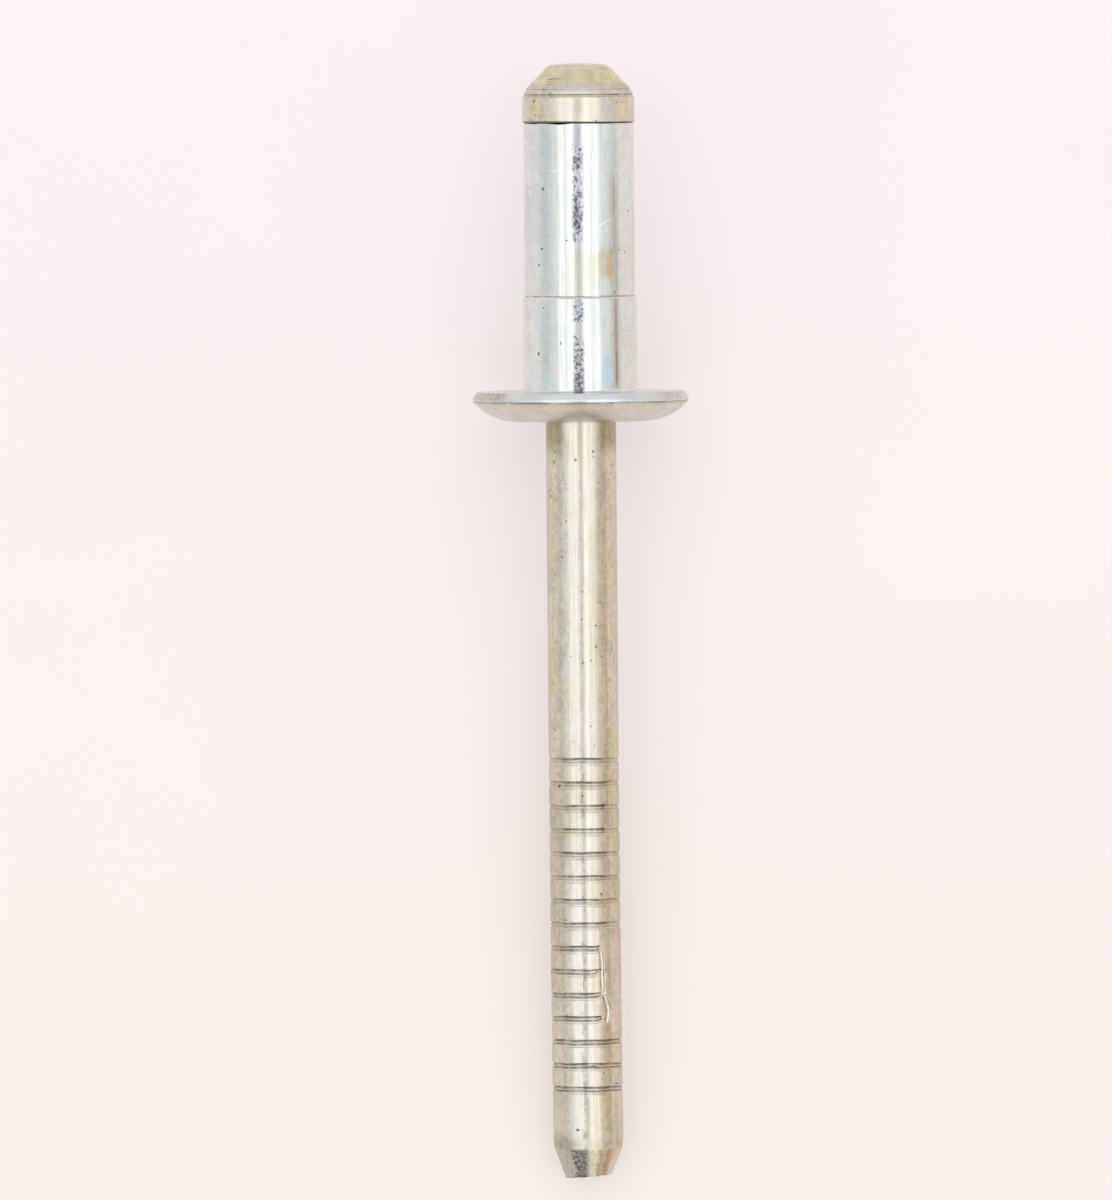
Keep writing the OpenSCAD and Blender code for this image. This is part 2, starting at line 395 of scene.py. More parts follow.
# Unevenness of the blind end and nicks in the rim, as (turn, half width in degrees, depth in mm)
END_WAVES = ((-111.0, 16.0, 0.055), (-62.0, 14.0, 0.012), (-146.0, 12.0, 0.02))
RIM_NICKS = ((-152.0, 6.0, 0.03), (-57.0, 4.0, 0.018), (-20.0, 9.0, 0.02), (-118.0, 5.0, 0.014))
# How far the rim is from round, in mm, and the turn at which it is narrowest
OVAL = 0.012
OVAL_TURN = -150.0


def sleeve_outline(z):
    """The sleeve's section, from its blind end out, down the outside and back up the bore."""
    dome_w = z.flange_r - z.flat_r
    dome_h = z.flange_t - z.rim_t
    dome_r = (dome_w**2 + dome_h**2) / (2.0 * dome_h)
    rim_turn = 180.0 - math.degrees(math.asin(dome_w / dome_r))
    bore_top = z.throat_at + z.throat_len + z.bore_r - z.throat_r
    section = Outline(z.barrel_len, z.bore_r)
    section.line(z.barrel_len, z.barrel_r - z.end_edge, 4)
    section.arc(z.barrel_len - z.end_edge, z.barrel_r - z.end_edge, z.end_edge, 0, 90)
    section.line(z.collar_len, z.barrel_r, 30)
    section.line(z.collar_len - z.collar_bevel, z.collar_r, 2)
    section.line(z.root_fillet, z.collar_r, 16)
    section.arc(z.root_fillet, z.collar_r + z.root_fillet, z.root_fillet, 270, 180)
    chamfer_top = z.flange_r - z.rim_in
    # The chamfer and the upright rim with the small breaks of its edges
    rim = (
        (0.0, chamfer_top - 0.07, 8),
        (-0.03, chamfer_top - 0.015, 2),
        (-z.rim_edge, z.flange_r - 0.03, 4),
        (-z.rim_edge - 0.05, z.flange_r, 2),
        (-z.rim_t + 0.06, z.flange_r, 3),
        (-z.rim_t + 0.025, z.flange_r - 0.028, 2),
        (-z.rim_t, z.flange_r - 0.012, 2),
    )
    section.path(rim)
    section.arc(dome_r - z.flange_t, z.flat_r, dome_r, rim_turn, 180, 14)
    section.line(-z.flange_t, z.throat_r + z.throat_at + z.flange_t, 6)
    section.line(z.throat_at, z.throat_r)
    section.line(z.throat_at + z.throat_len, z.throat_r)
    section.line(bore_top, z.bore_r)
    section.line(z.barrel_len - z.end_edge, z.bore_r, 6)
    return section


def shape_sleeve(z):
    """The small departures of the real sleeve from a true turning."""

    def shape(station, radius, turn, cut, short):
        """Waves in the blind end, nicks in the rim, and painted shade and dirt in its upper crease.
        """
        # Painted shade, with dirt, along the crease at the rim's upper edge
        grime = bump(station, -z.rim_t + 0.02, 0.06)
        grime = grime * ramp(radius, z.flange_r - 0.5, z.flange_r - 0.1)
        end = ramp(station, z.barrel_len - 0.5, z.barrel_len)
        outside = ramp(radius, z.bore_r + 0.02, z.bore_r + 0.3)
        station = station - end * bumps(turn, END_WAVES) * outside
        rim = ramp(radius, z.flange_r - 0.5, z.flange_r)
        oval = np.cos(np.radians(turn - OVAL_TURN)) * OVAL
        return station, radius - rim * (bumps(turn, RIM_NICKS) + np.abs(oval)), grime

    return shape


# ---------------------------------------------------------------- the mandrel

# One pulling groove, as (distance back from its upper edge in mm, share of the depth):
# a cut, a small ridge, a second cut and the lip that the rolling raised
GROOVE = (
    (0.0, 0.0),
    (0.03, 0.4),
    (0.06, 0.85),
    (0.09, 1.0),
    (0.12, 0.85),
    (0.16, 0.4),
    (0.19, 0.28),
    (0.215, 0.34),
    (0.24, 0.62),
    (0.265, 0.85),
    (0.295, 0.8),
    (0.34, 0.3),
    (0.375, -0.08),
    (0.405, -0.14),
    (0.435, 0.0),
    (0.46, 0.22),
    (0.49, 0.0),
)


def mandrel_outline(z):
    """The mandrel's section, from the middle of its nose to the middle of its tail."""
    band_top = z.head_foot + z.band_h
    shoulder_top = band_top + z.shoulder_h
    nose_top = shoulder_top + z.nose_h
    dome_at = nose_top - z.nose_dome
    cone_top = nose_top - 0.3
    cone_lean = (z.cone_r - z.nose_r - 0.3) / (cone_top - shoulder_top)
    crown_at = z.tail_at + z.taper_len + z.crown_len
    crown_turn = math.degrees(math.asin(z.crown_len / z.crown_r))
    section = Outline(nose_top - 0.001, 0.15)
    for r in np.linspace(0.3, z.nose_r - 0.1, 8):
        section.line(dome_at + math.sqrt(z.nose_dome**2 - r * r), r)
    # The nose's broken edge and the cone
    nose = (
        (nose_top - 0.12, z.nose_r + 0.04, 2),
        (nose_top - 0.19, z.nose_r + 0.16, 1),
        (cone_top, z.nose_r + 0.3, 2),
        (shoulder_top + 0.4, z.cone_r - 0.4 * cone_lean, 12),
        (shoulder_top + 0.1, z.cone_r - 0.115 * cone_lean, 6),
    )
    # The creases at the cone's foot and where the shoulder meets the band
    creases = (
        (shoulder_top + 0.03, z.cone_r - 0.075, 2),
        (shoulder_top - 0.03, z.cone_r - 0.035, 2),
        (shoulder_top - 0.1, z.cone_r + 0.012, 2),
        (band_top + 0.16, z.shoulder_r - 0.035, 3),
        (band_top + 0.12, z.shoulder_r - 0.055, 1),
        (band_top + 0.07, z.shoulder_r - 0.05, 1),
        (band_top + 0.03, z.shoulder_r - 0.01, 1),
        (band_top, z.head_r - z.band_edge, 1),
    )
    section.path(nose)
    section.path(creases)
    section.arc(band_top - z.band_edge, z.head_r - z.band_edge, z.band_edge, 0, 90, 3)
    section.line(z.head_foot + z.band_edge, z.head_r, 8)
    section.arc(z.head_foot + z.band_edge, z.head_r - z.band_edge, z.band_edge, 90, 180, 3)
    section.line(z.head_foot, z.stem_r, 2)
    notch = (z.notch_at - z.notch_len / 2, z.notch_at + z.notch_len / 2, z.notch_r)
    neck = (z.neck_at, z.neck_at + z.neck_len, z.neck_r)
    for low, high, floor_r in (notch, neck):
        run = z.stem_r - floor_r
        section.line(high + run, z.stem_r, 2)
        section.line(high, floor_r)
        section.line(low, floor_r)
        section.line(low - run, z.stem_r)
    section.line(z.groove_at + 0.2, z.stem_r, 60)
    for number in range(z.groove_count):
        top = z.groove_at - number * z.groove_pitch
        short = float(z.strip_first <= number + 1 <= z.strip_last)
        section.line(top, z.stem_r, 3)
        section.profile([(b, share * z.groove_depth) for b, share in GROOVE], short)
    section.line(crown_at, z.stem_r, 8)
    section.arc(crown_at, z.stem_r - z.crown_r, z.crown_r, 90, 90 + crown_turn, 6)
    section.line(z.tail_at, z.tail_r, 10)
    section.line(z.tail_at, 0.1, 6)
    return section


# Thin raised edges beside the plain strip, as (half width in degrees, height in mm, path); a
# path is (drop below the first short groove in mm, turn in degrees)
EDGES = (
    (2.0, 0.06, ((0.2, -66.0), (0.35, -64.6), (1.05, -61.8), (1.6, -63.0), (2.45, -61.4))),
    (1.3, 0.04, ((1.6, -57.3), (2.3, -56.4), (2.55, -59.0))),
    (2.2, 0.065, ((2.9, -58.0), (3.25, -54.2), (3.65, -51.0), (4.05, -51.6), (4.4, -54.4))),
)
# Height in mm at which an edge's painted highlight is full; it is kept below 0 with the dirt and
# shade
EDGE_BRIGHT = 0.06
# The trenches at either side of an edge, as (place, half width, share of the depth), the first
# two in half widths of the edge; the depth is a share of the edge's height
TRENCHES = ((-1.75, 1.0, 1.0), (1.6, 0.7, 0.7))
TRENCH_DEPTH = 0.6
# Depth in mm at which a trench's painted shade is full
TRENCH_FULL = 0.05
# A bead where two edges meet and a blot of dirt at the last groove's end, as
# (drop, half length in mm, turn, half width in degrees, height in mm or strength)
BEAD = (2.74, 0.13, -58.7, 3.2, 0.06)
BLOT = (4.2, 0.13, -65.5, 3.5, 0.8)
# Dents in the stem, as (station, half length in mm, turn, half width in degrees, depth in mm)
DENTS = (
    (-38.55, 0.15, -76.5, 9.0, 0.05),
    (-42.19, 0.1, -105.4, 2.6, 0.04),
    (-22.55, 0.12, -4.0, 9.0, 0.04),
    (-7.8, 0.3, -12.0, 7.0, 0.02),
)
# How far the grooves stray along the stem, in mm
WANDER = 0.009


def spot(station, turn, row):
    """A smooth hump on the skin; a row is (station, half length, turn, half width, height)."""
    middle, half, round_at, round_half, height = row
    return bump(turn, round_at, round_half) * bump(station, middle, half) * height


def raised_edges(drop, turn):
    """Rise and trench depth of the thin edges beside the plain strip."""
    rise = spot(drop, turn, BEAD)
    trench = 0.0
    for half, height, path in EDGES:
        drops, places = zip(*path)
        away = turn - np.interp(drop, drops, places)
        along = ramp(drop, drops[0] - 0.12, drops[0] + 0.08)
        along = along * ramp(-drop, -drops[-1] - 0.12, -drops[-1] + 0.08)
        rise = np.maximum(rise, along * bump(away, 0.0, half) * height)
        sides = sum(share * bump(away, at * half, wide * half) for at, wide, share in TRENCHES)
        trench = np.maximum(trench, along * sides * height * TRENCH_DEPTH)
    return rise, trench * (rise < 0.01)


def shape_mandrel(z):
    """Grooves that stop at the plain strip, the edges beside it, dents and the sheared tail."""
    taper_top = z.tail_at + z.taper_len
    strip_top = z.groove_at - (z.strip_first - 1) * z.groove_pitch

    def wander(number, turn):
        """How far a groove strays along the stem."""
        angle = np.radians(turn)
        return (np.sin(angle * 3.0 + number * 2.4) + np.sin(angle * 7.0 + number)) * WANDER

    def plain_strip(turn):
        """1 on the plain strip and 0 beside it."""
        lean = 0.6 * bump(turn, -66.0, 14.0)
        inside = ramp(turn, z.strip_from - 5.0 + lean, z.strip_from - 0.5 + lean)
        return inside * ramp(-turn, -z.strip_to - 1.0, -z.strip_to + 4.0)

    def corner(number, turn, plain):
        """How far the short grooves curve down at their ends, one of them more than the rest."""
        curled = (number == z.strip_first) * (1.0 - plain)
        curl = curled * ramp(turn, z.strip_from - 15.0, z.strip_from - 5.0) * 0.22
        return bump(turn, z.strip_from - 3.5, 7.5) * 0.08 + curl

    def groove_dirt_and_shade(number, station, cut):
        """Dirt and painted shade in the grooves; the second cut of the upper ones is lighter."""
        second = np.mod(z.groove_at - station, z.groove_pitch) > 0.2
        light = 1.0 - 0.5 * second * (number < z.strip_first - 1)
        return np.clip(cut / z.groove_depth, 0.0, 1.0) * light

    def torn(side, turn):
        """How far the sheared end face leans and is torn."""
        coarse = (1.0 + np.sin(side * 9.0 + 1.3)) * 0.016
        fine = (1.0 + np.sin(side * 23.0 + turn / 40.0)) * 0.007
        return side * math.tan(math.radians(z.tail_slant)) + coarse + fine

    def shape(station, radius, turn, cut, short):
        """Each point's new place on the mandrel, and its dirt, painted shade and painted highlight.
        """
        number = np.floor((z.groove_at - station) / z.groove_pitch)
        station = station + (cut != 0.0) * wander(number, turn)
        plain = plain_strip(turn)
        station = station + short * corner(number, turn, plain)
        cut = cut * (1.0 - short * plain)
        grime = groove_dirt_and_shade(number, station, cut)
        radius = radius - cut
        stem = np.abs(radius - z.stem_r) < 0.15
        ridge, trench = raised_edges(strip_top - station, turn)
        # Painted shade in the trenches, and painted highlight on the raised edges below 0
        grime = grime + stem * (trench / TRENCH_FULL - ridge / EDGE_BRIGHT)
        grime = grime + spot(strip_top - station, turn, BLOT)
        dents = sum(spot(station, turn, row) for row in DENTS)
        radius = radius + stem * (ridge - trench - dents)
        side = radius * np.cos(np.radians(turn))
        shear = ramp(-station, -taper_top + 0.1, -z.tail_at)
        # A painted shadow line along the edge of the end face
        end_edge_shadow = ramp(radius, z.tail_r - 0.12, z.tail_r - 0.02) * bump(station, z.tail_at, 0.09)
        face = ramp(z.tail_r - radius, 0.05, 0.2) * (station < z.tail_at + 0.1)
        return station + shear * torn(side, turn), radius, grime + end_edge_shadow * 0.8 + face * 0.5

    return shape


def bend_stem(mesh, z):
    """Bends the grooved end of the stem very slightly to the right."""
    points = np.empty(len(mesh.vertices) * 3, np.float32)
    mesh.vertices.foreach_get("co", points)
    points = points.reshape(-1, 3)
    share = np.clip((points[:, 2] * MM - z.bend_from) / (z.tail_at - z.bend_from), 0.0, 1.0)
    points[:, 0] += share**2 * z.bend / MM
    mesh.vertices.foreach_set("co", points.ravel())
    mesh.update()


# ---------------------------------------------------------------- node graphs

EVEN = (1.0, 1.0, 1.0)
# How sharply patches of noise end, as (noise where they begin, noise where they are full)
CLOUD_EDGE = (0.48, 0.62)
# Where the soft edge of a mark lies, in half widths of the mark
ROUND_EDGE = (1.2, 0.6)
SQUARE_EDGE = (1.3, 0.45)
# How far the drawn lines roughen the metal
LINE_ROUGH = 0.08


def opaque(value):
    """A colour with its fourth part, 1; a socket stays as it is."""
    if isinstance(value, bpy.types.NodeSocket):
        return value
    return (*tuple(value)[:3], 1.0)


class Graph:
    """Adds nodes to a tree and joins them; sockets and plain values are both accepted."""

    def __init__(self, tree):
        self.tree = tree
        tree.nodes.clear()

    def add(self, kind, inputs=None, **settings):
        """A new node with its settings set and its inputs joined or set."""
        node = self.tree.nodes.new(kind)
        for name, value in settings.items():
            setattr(node, name, value)
        for key, value in (inputs or {}).items():
            if isinstance(value, bpy.types.NodeSocket):
                self.tree.links.new(value, node.inputs[key])
            else:
                node.inputs[key].default_value = value
        return node

    def math(self, operation, first, second=0.0):
        """The result of one sum."""
        return self.add("ShaderNodeMath", {0: first, 1: second}, operation=operation).outputs[0]

    def product(self, *values):
        """All the values multiplied."""
        total = values[0]
        for value in values[1:]:
            total = self.math("MULTIPLY", total, value)
        return total

    def fade(self, value, low, high, bottom=0.0, top=1.0):
        """A smooth step of value from bottom at low to top at high."""
        flip = low > high
        inputs = {
            "Value": value,
            "From Min": high if flip else low,
            "From Max": low if flip else high,
            "To Min": top if flip else bottom,
            "To Max": bottom if flip else top,
        }
        return self.add("ShaderNodeMapRange", inputs, interpolation_type="SMOOTHSTEP").outputs[0]

    def band(self, value, low, high, soft):
        """1 between low and high, falling to 0 over soft on either side."""
        rise = self.fade(value, low - soft, low + soft)
        return self.math("MULTIPLY", rise, self.fade(value, high + soft, high - soft))

    def levels(self, value, stops):
        """A level that follows (value, level) stops in rising order, straight between them."""
        low, high = stops[0][0], stops[-1][0]
        share = self.add("ShaderNodeMapRange", {"Value": value, "From Min": low, "From Max": high})
        node = self.add("ShaderNodeValToRGB", {0: share.outputs[0]})
        stretch = node.color_ramp
        for number, (place, level) in enumerate(stops):
            position = (place - low) / (high - low)
            if number < 2:
                stop = stretch.elements[number]
                stop.position = position
            else:
                stop = stretch.elements.new(position)
            stop.color = (level, level, level, level)
        return node.outputs["Alpha"]

    def mix_value(self, factor, first, second):
        """First where the factor is 0 and second where it is 1."""
        inputs = {0: factor, 2: first, 3: second}
        return self.add("ShaderNodeMix", inputs, data_type="FLOAT").outputs[0]

    def mix(self, factor, first, second, blend="MIX"):
        """First colour where the factor is 0 and second, or their blend, where it is 1."""
        inputs = {0: factor, 6: opaque(first), 7: opaque(second)}
        return self.add("ShaderNodeMix", inputs, data_type="RGBA", blend_type=blend).outputs[2]

    def vector(self, operation, *values):
        """The result of one sum with vectors."""
        inputs = dict(enumerate(values))
        return self.add("ShaderNodeVectorMath", inputs, operation=operation).outputs[0]

    def vector_value(self, operation, *values):
        """The number that one sum with vectors gives."""
        inputs = dict(enumerate(values))
        return self.add("ShaderNodeVectorMath", inputs, operation=operation).outputs["Value"]

    def split(self, vector):
        """X, Y and Z of a vector."""
        return self.add("ShaderNodeSeparateXYZ", {0: vector}).outputs

    def join(self, x, y, z=0.0):
        """A vector of three values."""
        return self.add("ShaderNodeCombineXYZ", {0: x, 1: y, 2: z}).outputs[0]

    def cloud(self, vector, scale, detail, rough, stretch):
        """A noise texture."""
        place = self.vector("MULTIPLY", vector, stretch)
        inputs = {"Vector": place, "Scale": scale, "Detail": detail, "Roughness": rough}
        return self.add("ShaderNodeTexNoise", inputs).outputs

    def noise(self, vector, scale, detail=2.0, rough=0.5, stretch=EVEN):
        """One noise round 0.5."""
        return self.cloud(vector, scale, detail, rough, stretch)["Fac"]

    def noises(self, vector, scale, detail=2.0, rough=0.5, stretch=EVEN):
        """Three unlike noises round 0.5."""
        parts = self.cloud(vector, scale, detail, rough, stretch)["Color"]
        return self.add("ShaderNodeSeparateColor", {0: parts}).outputs[:3]

    def specks(self, vector, scale, size, share):
        """Small round specks in a given share of the cells of a random net."""
        net = self.add("ShaderNodeTexVoronoi", {"Vector": vector, "Scale": scale})
        pick = self.add("ShaderNodeSeparateColor", {0: net.outputs["Color"]}).outputs[0]
        picked = self.fade(pick, 1.0 - share, 1.02 - share)
        return self.math("MULTIPLY", self.fade(net.outputs["Distance"], size, size * 0.5), picked)


class Metal:
    """The shared build of both zinc finishes: places on the piece, paint, pits and a shader.

    Marks lie on the skin rolled out flat. A mark is (turn, station, half width, half length,
    lean in degrees, strength); the turn is in degrees and the lengths are millimetres.
    """

    def __init__(self, name, base, rough, size):
        self.material = bpy.data.materials.new(name)
        self.material.use_nodes = True
        g = Graph(self.material.node_tree)
        self.g = g
        self.size = size
        self.base = base
        self.rough = rough
        inputs = {
            "Vector": g.add("ShaderNodeTexCoord").outputs["Object"],
            "Location": seat_centre,
            "Rotation": turn_down.to_euler(),
            "Scale": (1.0 / MM, 1.0 / MM, 1.0 / MM),
        }
        self.place = g.add("ShaderNodeMapping", inputs, vector_type="TEXTURE").outputs[0]
        x, y, self.station = g.split(self.place)[:3]
        self.radius = g.math("SQRT", g.math("ADD", g.product(x, x), g.product(y, y)))
        over = g.math("DEGREES", g.math("ARCTAN2", x, g.math("MULTIPLY", y, -1.0)))
        self.turn = g.math("ADD", over, UPPERMOST)
        self.along = g.math("MULTIPLY", over, math.radians(size))
        sway = g.noises(self.place, 2.6, 3.0, 0.6)
        self.ragged = self._map(sway, 0.45)
        self.neat = self._map(sway, 0.11)
        self.blotch = g.noise(self.place, 1.7, 3.0, 0.6)
        self.grain = g.noise(self.place, 7.0, 4.0, 0.7)
        self.lines = g.noise(self.place, 4.5, 3.0, 0.6, (2.0, 2.0, 0.05))
        fine = g.math("ADD", g.product(self.grain, 0.22), g.product(self.lines, 0.55))
        self.relief = g.math("ADD", fine, g.product(g.noise(self.place, 1.6, 2.0), 0.5))

    def _map(self, sway, size):
        """The skin rolled out flat, its lines swayed by up to half the given size."""
        g = self.g
        shift = [g.math("MULTIPLY", g.math("SUBTRACT", part, 0.5), size) for part in sway[:2]]
        return g.join(g.math("ADD", self.along, shift[0]), g.math("ADD", self.station, shift[1]))

    def marks(self, spots, square=False, neat=False):
        """The strongest of several soft ellipses, or of soft rectangles where square is set."""
        g = self.g
        total = None
        skin = self.neat if neat else self.ragged
        for turn, station, wide, long, lean, strength in spots:
            place = skin
            scale = Vector((1.0 / wide, 1.0 / long, 0.0))
            middle = Vector((math.radians(turn - UPPERMOST) * self.size, station, 0.0))
            if lean:
                swing = Matrix.Rotation(-math.radians(lean), 3, "Z")
                place = g.join(*(g.vector_value("DOT_PRODUCT", skin, row) for row in swing[:2]))
                middle = swing @ middle
            local = g.vector("MULTIPLY_ADD", place, scale, -middle * scale)
            if square:
                local = g.vector("MULTIPLY", local, local)
            far = g.vector_value("LENGTH", local)
            edge = SQUARE_EDGE if square else ROUND_EDGE
            mark = g.fade(far, *edge, 0.0, strength)
            total = mark if total is None else g.math("MAXIMUM", total, mark)
        return total

    def area(self, turns, stations):
        """1 within a span of turns and one of stations, each as (from, to, softness)."""
        return self.g.product(self.g.band(self.turn, *turns), self.g.band(self.station, *stations))

    def from_top(self):
        """Degrees round from the uppermost line, to either side."""
        return self.g.math("ABSOLUTE", self.g.math("SUBTRACT", self.turn, UPPERMOST))

    def grime(self):
        """The dirt and painted shade that the mesh holds; below 0 it is painted highlight."""
        return self.g.add("ShaderNodeAttribute", attribute_name="grime").outputs["Fac"]

    def paint(self, mask, tint, strength=1.0, blend="MIX"):
        """Lays a colour over the base where the mask is."""
        mask = mask if strength == 1.0 else self.g.product(mask, strength)
        self.base = self.g.mix(mask, self.base, tint, blend)

    def tone(self, mask, tint, strength=1.0):
        """Multiplies the base by a colour near white where the mask is."""
        self.paint(mask, tint, strength, "MULTIPLY")

    def mottle(self, scale, tones, inside, stretch=EVEN):
        """Three unlike tones in small patches; inside is their share within the highlights."""
        g = self.g
        parts = g.noises(self.place, scale, 3.0, 0.7, stretch)
        away = g.fade(self.from_top(), 17.0, 34.0, inside, 1.0)
        for part, tint in zip(parts, tones):
            self.tone(g.product(g.fade(part, 0.46, 0.6), away), tint)

    def hairlines(self, inside, tint, strength):
        """Thin lines drawn along the piece."""
        thin = self.g.noise(self.place, 4.0, 2.0, 0.5, (4.0, 4.0, 0.06))
        self.tone(self.g.product(self.g.fade(thin, 0.55, 0.62), inside), tint, strength)

    def dull(self, mask, rough):
        """Makes the surface rougher where the mask is."""
        g = self.g
        lift = g.math("MULTIPLY", g.math("SUBTRACT", rough, self.rough), mask)
        self.rough = g.math("ADD", self.rough, lift)

    def sink(self, mask, depth):
        """Lowers the surface where the mask is; a negative depth raises it."""
        self.relief = self.g.math("SUBTRACT", self.relief, self.g.product(mask, depth))

    def finish(self, distance):
        """Joins colour, roughness and surface relief to the shader; the distance is in mm."""
        g = self.g
        rough = g.math("ADD", self.rough, g.math("MULTIPLY", self.lines, LINE_ROUGH))
        inputs = {"Height": self.relief, "Strength": 1.0, "Distance": distance / MM}
        normal = g.add("ShaderNodeBump", inputs).outputs[0]
        inputs = {
            "Base Color": self.base,
            "Metallic": 1.0,
            "Roughness": rough,
            "Normal": normal,
            "Specular IOR Level": 0.5,
        }
        shader = g.add("ShaderNodeBsdfPrincipled", inputs)
        g.add("ShaderNodeOutputMaterial", {"Surface": shader.outputs[0]})
        return self.material


# ---------------------------------------------------------------- the sleeve's finish

SLEEVE_ICE = (
    (-126.0, 13.85, 0.2, 0.42, 0.0, 0.45),
    (-125.0, 10.55, 0.22, 0.5, 0.0, 0.42),
    (-62.0, 1.2, 0.34, 0.95, 0.0, 0.9),
    (-133.0, 3.6, 0.3, 0.7, 0.0, 0.35),
)
SLEEVE_MINT = (
    (-150.0, 0.65, 0.5, 0.4, 0.0, 0.8),
    (-123.0, 0.62, 0.45, 0.42, 0.0, 0.7),
    (-146.0, 12.6, 0.4, 1.1, 0.0, 0.5),
    (-140.0, 7.2, 0.5, 1.0, 0.0, 0.35),
    (-30.0, 11.2, 0.4, 1.4, 0.0, 0.5),
    (-38.0, 4.2, 0.3, 0.8, 0.0, 0.3),
)
SLEEVE_STAIN = (
    (-57.0, 7.25, 0.26, 0.92, 0.0, 0.95),
    (-63.5, 7.3, 0.36, 0.98, 0.0, 0.55),
    (-12.0, 8.6, 0.3, 2.6, 0.0, 0.3),
)
SLEEVE_RUST = (
    (-51.0, 3.0, 0.1, 2.45, 0.0, 0.5),
    (-50.0, 1.4, 0.07, 1.1, 0.0, 0.75),
    (-49.0, 6.9, 0.05, 1.2, 0.0, 0.35),
    (-51.5, 11.05, 0.035, 1.25, 0.0, 0.6),
    (-50.5, 9.0, 0.03, 1.1, 0.0, 0.35),
)
SLEEVE_SPECKS = (
    (-130.5, 11.59, 0.09, 0.09, 0.0, 0.85),
    (-133.0, 8.2, 0.09, 0.07, 0.0, 0.85),
    (-137.0, 7.25, 0.08, 0.07, 0.0, 0.8),
    (-137.0, 2.2, 0.08, 0.14, 0.0, 0.85),
    (-103.5, 8.65, 0.09, 0.05, 0.0, 0.8),
    (-110.0, 2.8, 0.05, 0.11, 0.0, 0.8),
    (-28.0, 10.3, 0.08, 0.08, 0.0, 0.7),
    (-45.0, 8.1, 0.08, 0.08, 0.0, 0.6),
)
SLEEVE_SCRATCHES = (
    (-62.7, 9.65, 0.64, 0.035, 25.0, 0.95),
    (-115.0, 12.64, 0.7, 0.03, 0.0, 0.8),
    (-60.0, 13.2, 0.2, 0.03, 3.0, 0.5),
    (-140.0, 12.3, 0.05, 0.35, 20.0, 0.5),
)
# How densely the pits stand along the uppermost line, as (station, level); it also sets the painted
# reflection of the lens there
SLEEVE_PITS = (
    (0.1, 0.95),
    (0.95, 1.1),
    (1.15, 0.6),
    (1.9, 0.85),
    (2.3, 0.5),
    (2.42, 0.9),
    (2.55, 0.2),
    (2.75, 0.8),
    (2.95, 0.25),
    (3.15, 0.7),
    (3.3, 0.1),
    (3.95, 0.15),
    (4.15, 0.65),
    (5.1, 0.5),
    (5.4, 0.1),
    (8.4, 0.1),
    (8.7, 0.55),
    (9.2, 0.6),
    (9.5, 0.9),
    (10.5, 0.95),
    (10.8, 0.4),
    (11.2, 1.15),
    (11.4, 0.3),
    (11.7, 0.5),
    (12.2, 0.6),
    (12.45, 0.1),
    (12.75, 0.6),
    (13.1, 0.8),
    (14.0, 0.45),
    (14.4, 0.05),
)
# Violet patches along the top line, a painted reflection of the lens
SLEEVE_LENS_VIOLET = (
    (-92.5, 14.7, 0.2, 0.75, 0.0, 0.7),
    (-92.0, 10.2, 0.2, 1.4, 0.0, 0.5),
    (-92.0, 4.65, 0.2, 0.7, 0.0, 0.6),
)
# Thin dark lines in the highlights; the two longest are a painted reflection of the seam between the
# softboxes
SLEEVE_LINES = (
    (-104.6, 7.6, 0.03, 7.4, 0.0, 0.75),
    (-77.3, 8.2, 0.03, 6.6, 0.0, 0.6),
    (-108.0, 3.4, 0.02, 2.9, 0.0, 0.5),
    (-74.0, 2.6, 0.025, 2.2, 0.0, 0.6),
    (-80.5, 11.5, 0.02, 2.6, 0.0, 0.4),
    (-113.5, 9.0, 0.02, 4.0, 0.0, 0.35),
)


